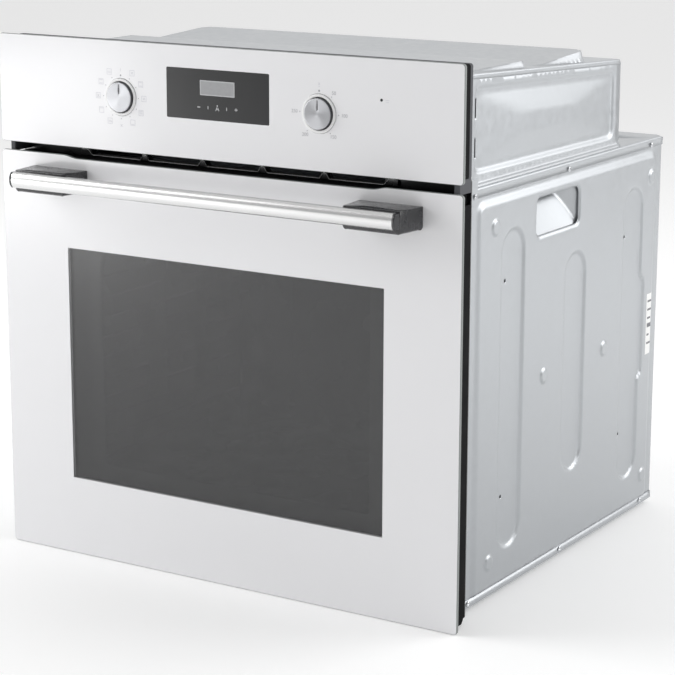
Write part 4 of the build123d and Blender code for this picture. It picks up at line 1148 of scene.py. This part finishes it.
class OVEN_OT_housing(bpy.types.Operator):
    """Recessed sides of the control housing and its lid with two raised pads"""

    bl_idname = "oven.housing"
    bl_label = "Control housing"

    def execute(self, context):
        sheet = housing_side(context.scene.oven_body.recess)
        for side, part in (("right", sheet), ("left", mirrored(sheet))):
            pressed("housing_sheet_" + side, [part], ["housing_side_" + side])
        pressed("housing_lid", [housing_top()], ["top_cover"], 0.9)
        return {"FINISHED"}


class OVEN_OT_folded_panels(bpy.types.Operator):
    """Top and base of the body with their edges folded over the side panels"""

    bl_idname = "oven.folded_panels"
    bl_label = "Top and base"

    def execute(self, context):
        for node, sign, fold in (("top_panel", -1, 8.6), ("base_panel", 1, 8.0)):
            low, high = edges_of(node)
            half, bend = high[0] - 2.4, 2.4
            reach = half + bend * pi / 2 + fold
            face = high[2] if sign < 0 else low[2]
            outline = spaced(rounded((-reach, reach), (low[1], high[1]), 0.8, 2), 9)
            # One cable hole in the top, and six air slots across the base.
            holes = [circle(238, 452, 4.0, 20)] if sign < 0 else [
                spaced(rounded((-75, 75), (126 + 50 * row, 134 + 50 * row), 4, 6), 4) for row in range(6)]
            folds = half + np.array([0, 0.6, 1.2, 1.9, 2.6, 3.2, 3.8])
            rows = np.arange(low[1] + 5, high[1] - 4, 9.0)
            flat, faces = triangulated(outline, holes, (), upright(np.concatenate([-folds, folds]), rows))
            out, down = folded(np.abs(flat[:, 0]), half, bend)
            points = np.stack([np.sign(flat[:, 0]) * out, flat[:, 1], face + sign * down], -1)
            if sign > 0:
                faces = faces[:, ::-1]
            pressed(node.replace("_panel", "_sheet"), [(points, faces, 0)], [node])
        return {"FINISHED"}


SCREW_Y, SCREW_Z = (32.0, 251.0, 472.0), (6.5, 447.5)
SCREW_SEAT = 275.3          # outer face of the folded edges, under the heads
BRACKET = 0.9               # the upper front screws sit on a small bracket of this thickness


class OVEN_OT_screws(bpy.types.Operator):
    """Domed screw heads along both sides of the body"""

    bl_idname = "oven.screws"
    bl_label = "Screws"

    def execute(self, context):
        parts = []
        turn = np.arange(24) * pi / 12
        radius = np.array([0.3, 1.0, 1.6, 2.2, 2.7, 3.05, 3.2, 3.2, 1.9, 1.9])
        rise = np.array([2.0, 1.98, 1.9, 1.7, 1.4, 0.95, 0.5, 0.0, 0.0, -5.0])
        for y, z in [(y, z) for z in SCREW_Z for y in SCREW_Y]:
            seat = SCREW_SEAT + BRACKET * (y == SCREW_Y[0] and z == SCREW_Z[1])
            across = radius[:, None] * np.cos(turn)
            up = radius[:, None] * np.sin(turn)
            cross = ramp(0.75 - np.minimum(np.abs(across), np.abs(up)), 0.4)
            cross = cross * ramp(2.2 - radius, 0.5)[:, None]
            out = seat + rise[:, None] - 0.9 * cross * (rise[:, None] > 1.3)
            head = lofted(np.stack([out, y + across, z + up], -1))
            parts += [head, mirrored(head)]
        piece("side_screws", make_mesh("side_screws", parts), [FINISHES["screw_steel"]], "cabinet",
              ["body_screws"])
        return {"FINISHED"}


LABEL_Y, LABEL_Z = (470, 490), (191.5, 266.5)
BAR_PITCH = 10.4
LABEL_BARS = ((13, 2.4), (13, 2.4), (9, 2.4), (13, 5.0), (6, 2.4), (11, 2.4))   # width and height of each


class OVEN_OT_label(bpy.types.Operator):
    """Plain paper label with a few bars near the rear edge of the right side"""

    bl_idname = "oven.label"
    bl_label = "Label"

    def execute(self, context):
        body = context.scene.oven_body

        def on_side(span_y, span_z, lift, zone):
            """Grid laid over the pressed side at a small lift, closed by its own back and edges."""
            rows, columns = 24, 12
            size = rows * columns
            y, z = np.meshgrid(np.linspace(*span_y, columns), np.linspace(*span_z, rows))
            height = side_height(y, z, body.field_height, body.dimple_height)
            front = np.stack([FLAT_X + height + lift, y, z], -1)
            back = front - (lift - 0.01, 0, 0)
            faces = grid_faces(rows, columns)
            index = np.arange(size).reshape(rows, columns)
            rim = np.concatenate([index[0], index[1:, -1], index[-1, -2::-1], index[-2:0:-1, 0]])
            after = np.roll(rim, -1)
            sides = np.stack([rim, rim + size, after + size, after], -1)
            return (np.vstack([front.reshape(-1, 3), back.reshape(-1, 3)]),
                    np.vstack([faces, faces[:, ::-1] + size, sides]), zone)

        # Coated paper: white with a dull smooth face.
        paper = finish("Label paper, coated", "#F1F1F0", (0.45, 0.55), 0.01, 5.0, 0.5, 0.003)
        # Printing ink on paper: a dull mid grey.
        ink = finish("Label ink", "#77787C", (0.5, 0.6), 0.05, 2.0, 0.4, 0.002)
        parts = [on_side(LABEL_Y, LABEL_Z, 0.12, 0)]
        start, head = LABEL_Y[0] + 3, LABEL_Z[1] - 10.5
        for row, (width, height) in enumerate(LABEL_BARS):
            z = head - BAR_PITCH * row
            parts.append(on_side((start, start + width), (z, z + height), 0.2, 1))
        piece("side_label", make_mesh("side_label", parts, crease=60), [paper, ink], "cabinet")
        return {"FINISHED"}


# ---------------------------------------------------------------- cavity and seal

LINER_CORNER, LINER_WALL = 14, 1.4
SEAL_CORNER, SEAL_HALF = 18, 3.5


class OVEN_OT_cavity(bpy.types.Operator):
    """Enamelled cooking cavity with rounded corners"""

    bl_idname = "oven.cavity"
    bl_label = "Cavity"

    def execute(self, context):
        low, high = edges_of("cavity_roof")
        half = high[0] - 1.5
        span_z = (edges_of("cavity_floor")[1][2], low[2])
        bend = LINER_CORNER
        start = edges_of("cavity_back")[0][1] - bend     # where the walls start to curve into the back
        loop = spaced(rounded((-half, half), span_z, bend, 8), 12)
        rings = [along_y(loop, y) for y in (low[1], 6.0, 40.0, 80.0, 160.0, 240.0, 320.0, start)]
        rings += [along_y(drawn_in(loop, bend * (1 - cos(turn))), start + bend * sin(turn))
                  for turn in np.linspace(0.26, pi / 2, 6)]
        points, faces, zone = lofted(rings, (False, True))
        mesh = make_mesh("cavity_liner", [(points, faces[:, ::-1], zone)], False, 50)
        made = piece("cavity_liner", mesh, [FINISHES["cavity_enamel"]], "cabinet",
                     ["cavity_left", "cavity_right", "cavity_roof", "cavity_floor", "cavity_back"])
        wall(made, LINER_WALL)
        return {"FINISHED"}


class OVEN_OT_gasket(bpy.types.Operator):
    """Hollow-lipped seal round the mouth of the cavity"""

    bl_idname = "oven.gasket"
    bl_label = "Door seal"

    def execute(self, context):
        low, high = edges_of("door_gasket")
        path = spaced(rounded((low[0] + SEAL_HALF, high[0] - SEAL_HALF),
                              (low[2] + SEAL_HALF, high[2] - SEAL_HALF), SEAL_CORNER, 10), 8)
        middle, reach = (low[1] + high[1]) / 2, (high[1] - low[1]) / 2
        # Its section is a squared oval: the cosine across is raised to the power 0.8.
        turn = np.arange(16) * pi / 8
        across = (SEAL_HALF - 0.1) * np.sign(np.cos(turn)) * np.abs(np.cos(turn)) ** 0.8
        rings = [along_y(drawn_in(path, shift), middle + reach * sin(angle))
                 for shift, angle in zip(across, turn)]
        skin = lofted([*rings, rings[0]], (False, False))
        piece("door_seal", make_mesh("door_seal", [skin]), [FINISHES["gasket_rubber"]], "cabinet",
              ["door_gasket"])
        return {"FINISHED"}


# ---------------------------------------------------------------- stage

FLOOR_RADII = (0.01, 500, 1500, 4000, 12000, 30000)
# Direction of the brighter side of the surround, and its mean strength.
SURROUND_TILT, SURROUND_MEAN = (-0.1, 0.3, 0.05), 0.5
CAMERA_PLACE = (1.343, -1.945, 0.8255)   # in metres
CAMERA_TURN, CAMERA_FALL, CAMERA_LEAN = radians(31.94), radians(13.21), radians(0.14)


class OVEN_OT_stage(bpy.types.Operator):
    """Pale floor, soft studio light and the camera"""

    bl_idname = "oven.stage"
    bl_label = "Studio"

    def execute(self, context):
        stage = context.scene.oven_stage
        context.scene.view_settings.view_transform = "Standard"
        height = DOOR_LOW[2] - 0.3
        rings = [np.column_stack([circle(0, 0, radius, 96), np.full(96, height)]) for radius in FLOOR_RADII]
        disc = make_mesh("studio_floor", [lofted(rings, (True, False))], False)
        floor = bpy.data.objects.new("studio_floor", disc)
        context.scene.collection.objects.link(floor)
        # Painted board, rolled: even and matt, with the faintest cloud.
        paint = finish("Painted board, matt white", stage.floor, (0.8, 0.9), 0.004, 400.0, 3.0, 0.01)
        shader = paint.node_tree.nodes["Principled BSDF"]
        shader.inputs["Emission Color"].default_value = (1, 1, 1, 1)
        shader.inputs["Emission Strength"].default_value = stage.glow
        floor.data.materials.append(paint)

        world = bpy.data.worlds.new("Studio surround")
        context.scene.world = world
        world.use_nodes = True
        tree = world.node_tree
        tree.nodes.clear()
        # The surround is brighter behind the oven than in front of it.
        way = add(tree, "ShaderNodeTexCoord")
        tilt = add(tree, "ShaderNodeVectorMath", {0: way.outputs["Generated"], 1: SURROUND_TILT},
                   operation="DOT_PRODUCT")
        even = add(tree, "ShaderNodeMath", {0: tilt.outputs["Value"], 1: SURROUND_MEAN}, operation="ADD")
        strength = add(tree, "ShaderNodeMath", {0: even.outputs[0], 1: stage.surround}, operation="MULTIPLY")
        sky = add(tree, "ShaderNodeBackground", {"Color": (1, 1, 1, 1), "Strength": strength.outputs[0]})
        add(tree, "ShaderNodeOutputWorld", {"Surface": sky.outputs[0]})

        for name, power, place, aim, size in (
                ("Key light", stage.key, (-2.3, -0.9, 1.3), (-0.2, 0.0, 0.3), 1.8),
                ("Near light", stage.near, (-1.5, -1.55, 0.2), (-0.1, 0.0, 0.3), 0.36),
                ("Side light", stage.side, (1.9, 1.7, 1.25), (0.27, 0.2, 0.3), 1.8),
                ("Rear light", stage.rear, (-0.6, 2.2, 2.2), (0.0, 0.2, 0.3), 2.0)):
            light = bpy.data.lights.new(name, "AREA")
            light.shape = "SQUARE"
            light.size = size
            light.energy = power
            lamp = bpy.data.objects.new(name, light)
            context.scene.collection.objects.link(lamp)
            lamp.location = place
            lamp.rotation_euler = (Vector(aim) - Vector(place)).to_track_quat("-Z", "Y").to_euler()

        camera = bpy.data.cameras.new("Camera")
        camera.sensor_width = 36.0
        camera.lens = stage.lens
        camera.clip_end = 200
        viewer = bpy.data.objects.new("Camera", camera)
        context.scene.collection.objects.link(viewer)
        turn, fall, lean = CAMERA_TURN, CAMERA_FALL, CAMERA_LEAN
        back = Vector((sin(turn) * cos(fall), -cos(turn) * cos(fall), sin(fall)))
        right = Vector((cos(turn), sin(turn), 0))
        up = back.cross(right)
        axes = (cos(lean) * right + sin(lean) * up, cos(lean) * up - sin(lean) * right, back)
        viewer.matrix_world = Matrix.Translation(CAMERA_PLACE) @ Matrix(axes).transposed().to_4x4()
        context.scene.camera = viewer
        return {"FINISHED"}


OPERATORS = (
    OVEN_OT_finishes, OVEN_OT_door_glass, OVEN_OT_inner_panes, OVEN_OT_panel_glass, OVEN_OT_marks,
    OVEN_OT_display, OVEN_OT_controls, OVEN_OT_handle, OVEN_OT_louvre, OVEN_OT_side_sheets,
    OVEN_OT_housing, OVEN_OT_folded_panels, OVEN_OT_screws, OVEN_OT_label, OVEN_OT_cavity,
    OVEN_OT_gasket, OVEN_OT_stage,
)


class OVEN_PT_build(bpy.types.Panel):
    """Build steps of the oven in the sidebar"""

    bl_idname = "OVEN_PT_build"
    bl_label = "Built-in oven"
    bl_space_type = "VIEW_3D"
    bl_region_type = "UI"
    bl_category = "Oven"

    def draw(self, context):
        for settings in (context.scene.oven_front, context.scene.oven_body, context.scene.oven_stage):
            group = self.layout.box()
            for name in settings.__annotations__:
                group.prop(settings, name)
        for step in OPERATORS:
            self.layout.operator(step.bl_idname)


SETTINGS = {"oven_front": OvenFrontSettings, "oven_body": OvenBodySettings, "oven_stage": OvenStageSettings}


def register():
    """Register the settings, the operators and the panel."""
    for made in (*SETTINGS.values(), *OPERATORS, OVEN_PT_build):
        bpy.utils.register_class(made)
    for name, made in SETTINGS.items():
        setattr(bpy.types.Scene, name, bpy.props.PointerProperty(type=made))


def unregister():
    """Take everything out again."""
    for name in SETTINGS:
        delattr(bpy.types.Scene, name)
    for made in (OVEN_PT_build, *reversed(OPERATORS), *SETTINGS.values()):
        bpy.utils.unregister_class(made)


def main():
    """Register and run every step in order."""
    register()
    for step in OPERATORS:
        group, name = step.bl_idname.split(".")
        getattr(getattr(bpy.ops, group), name)()


if __name__ == "__main__":
    main()
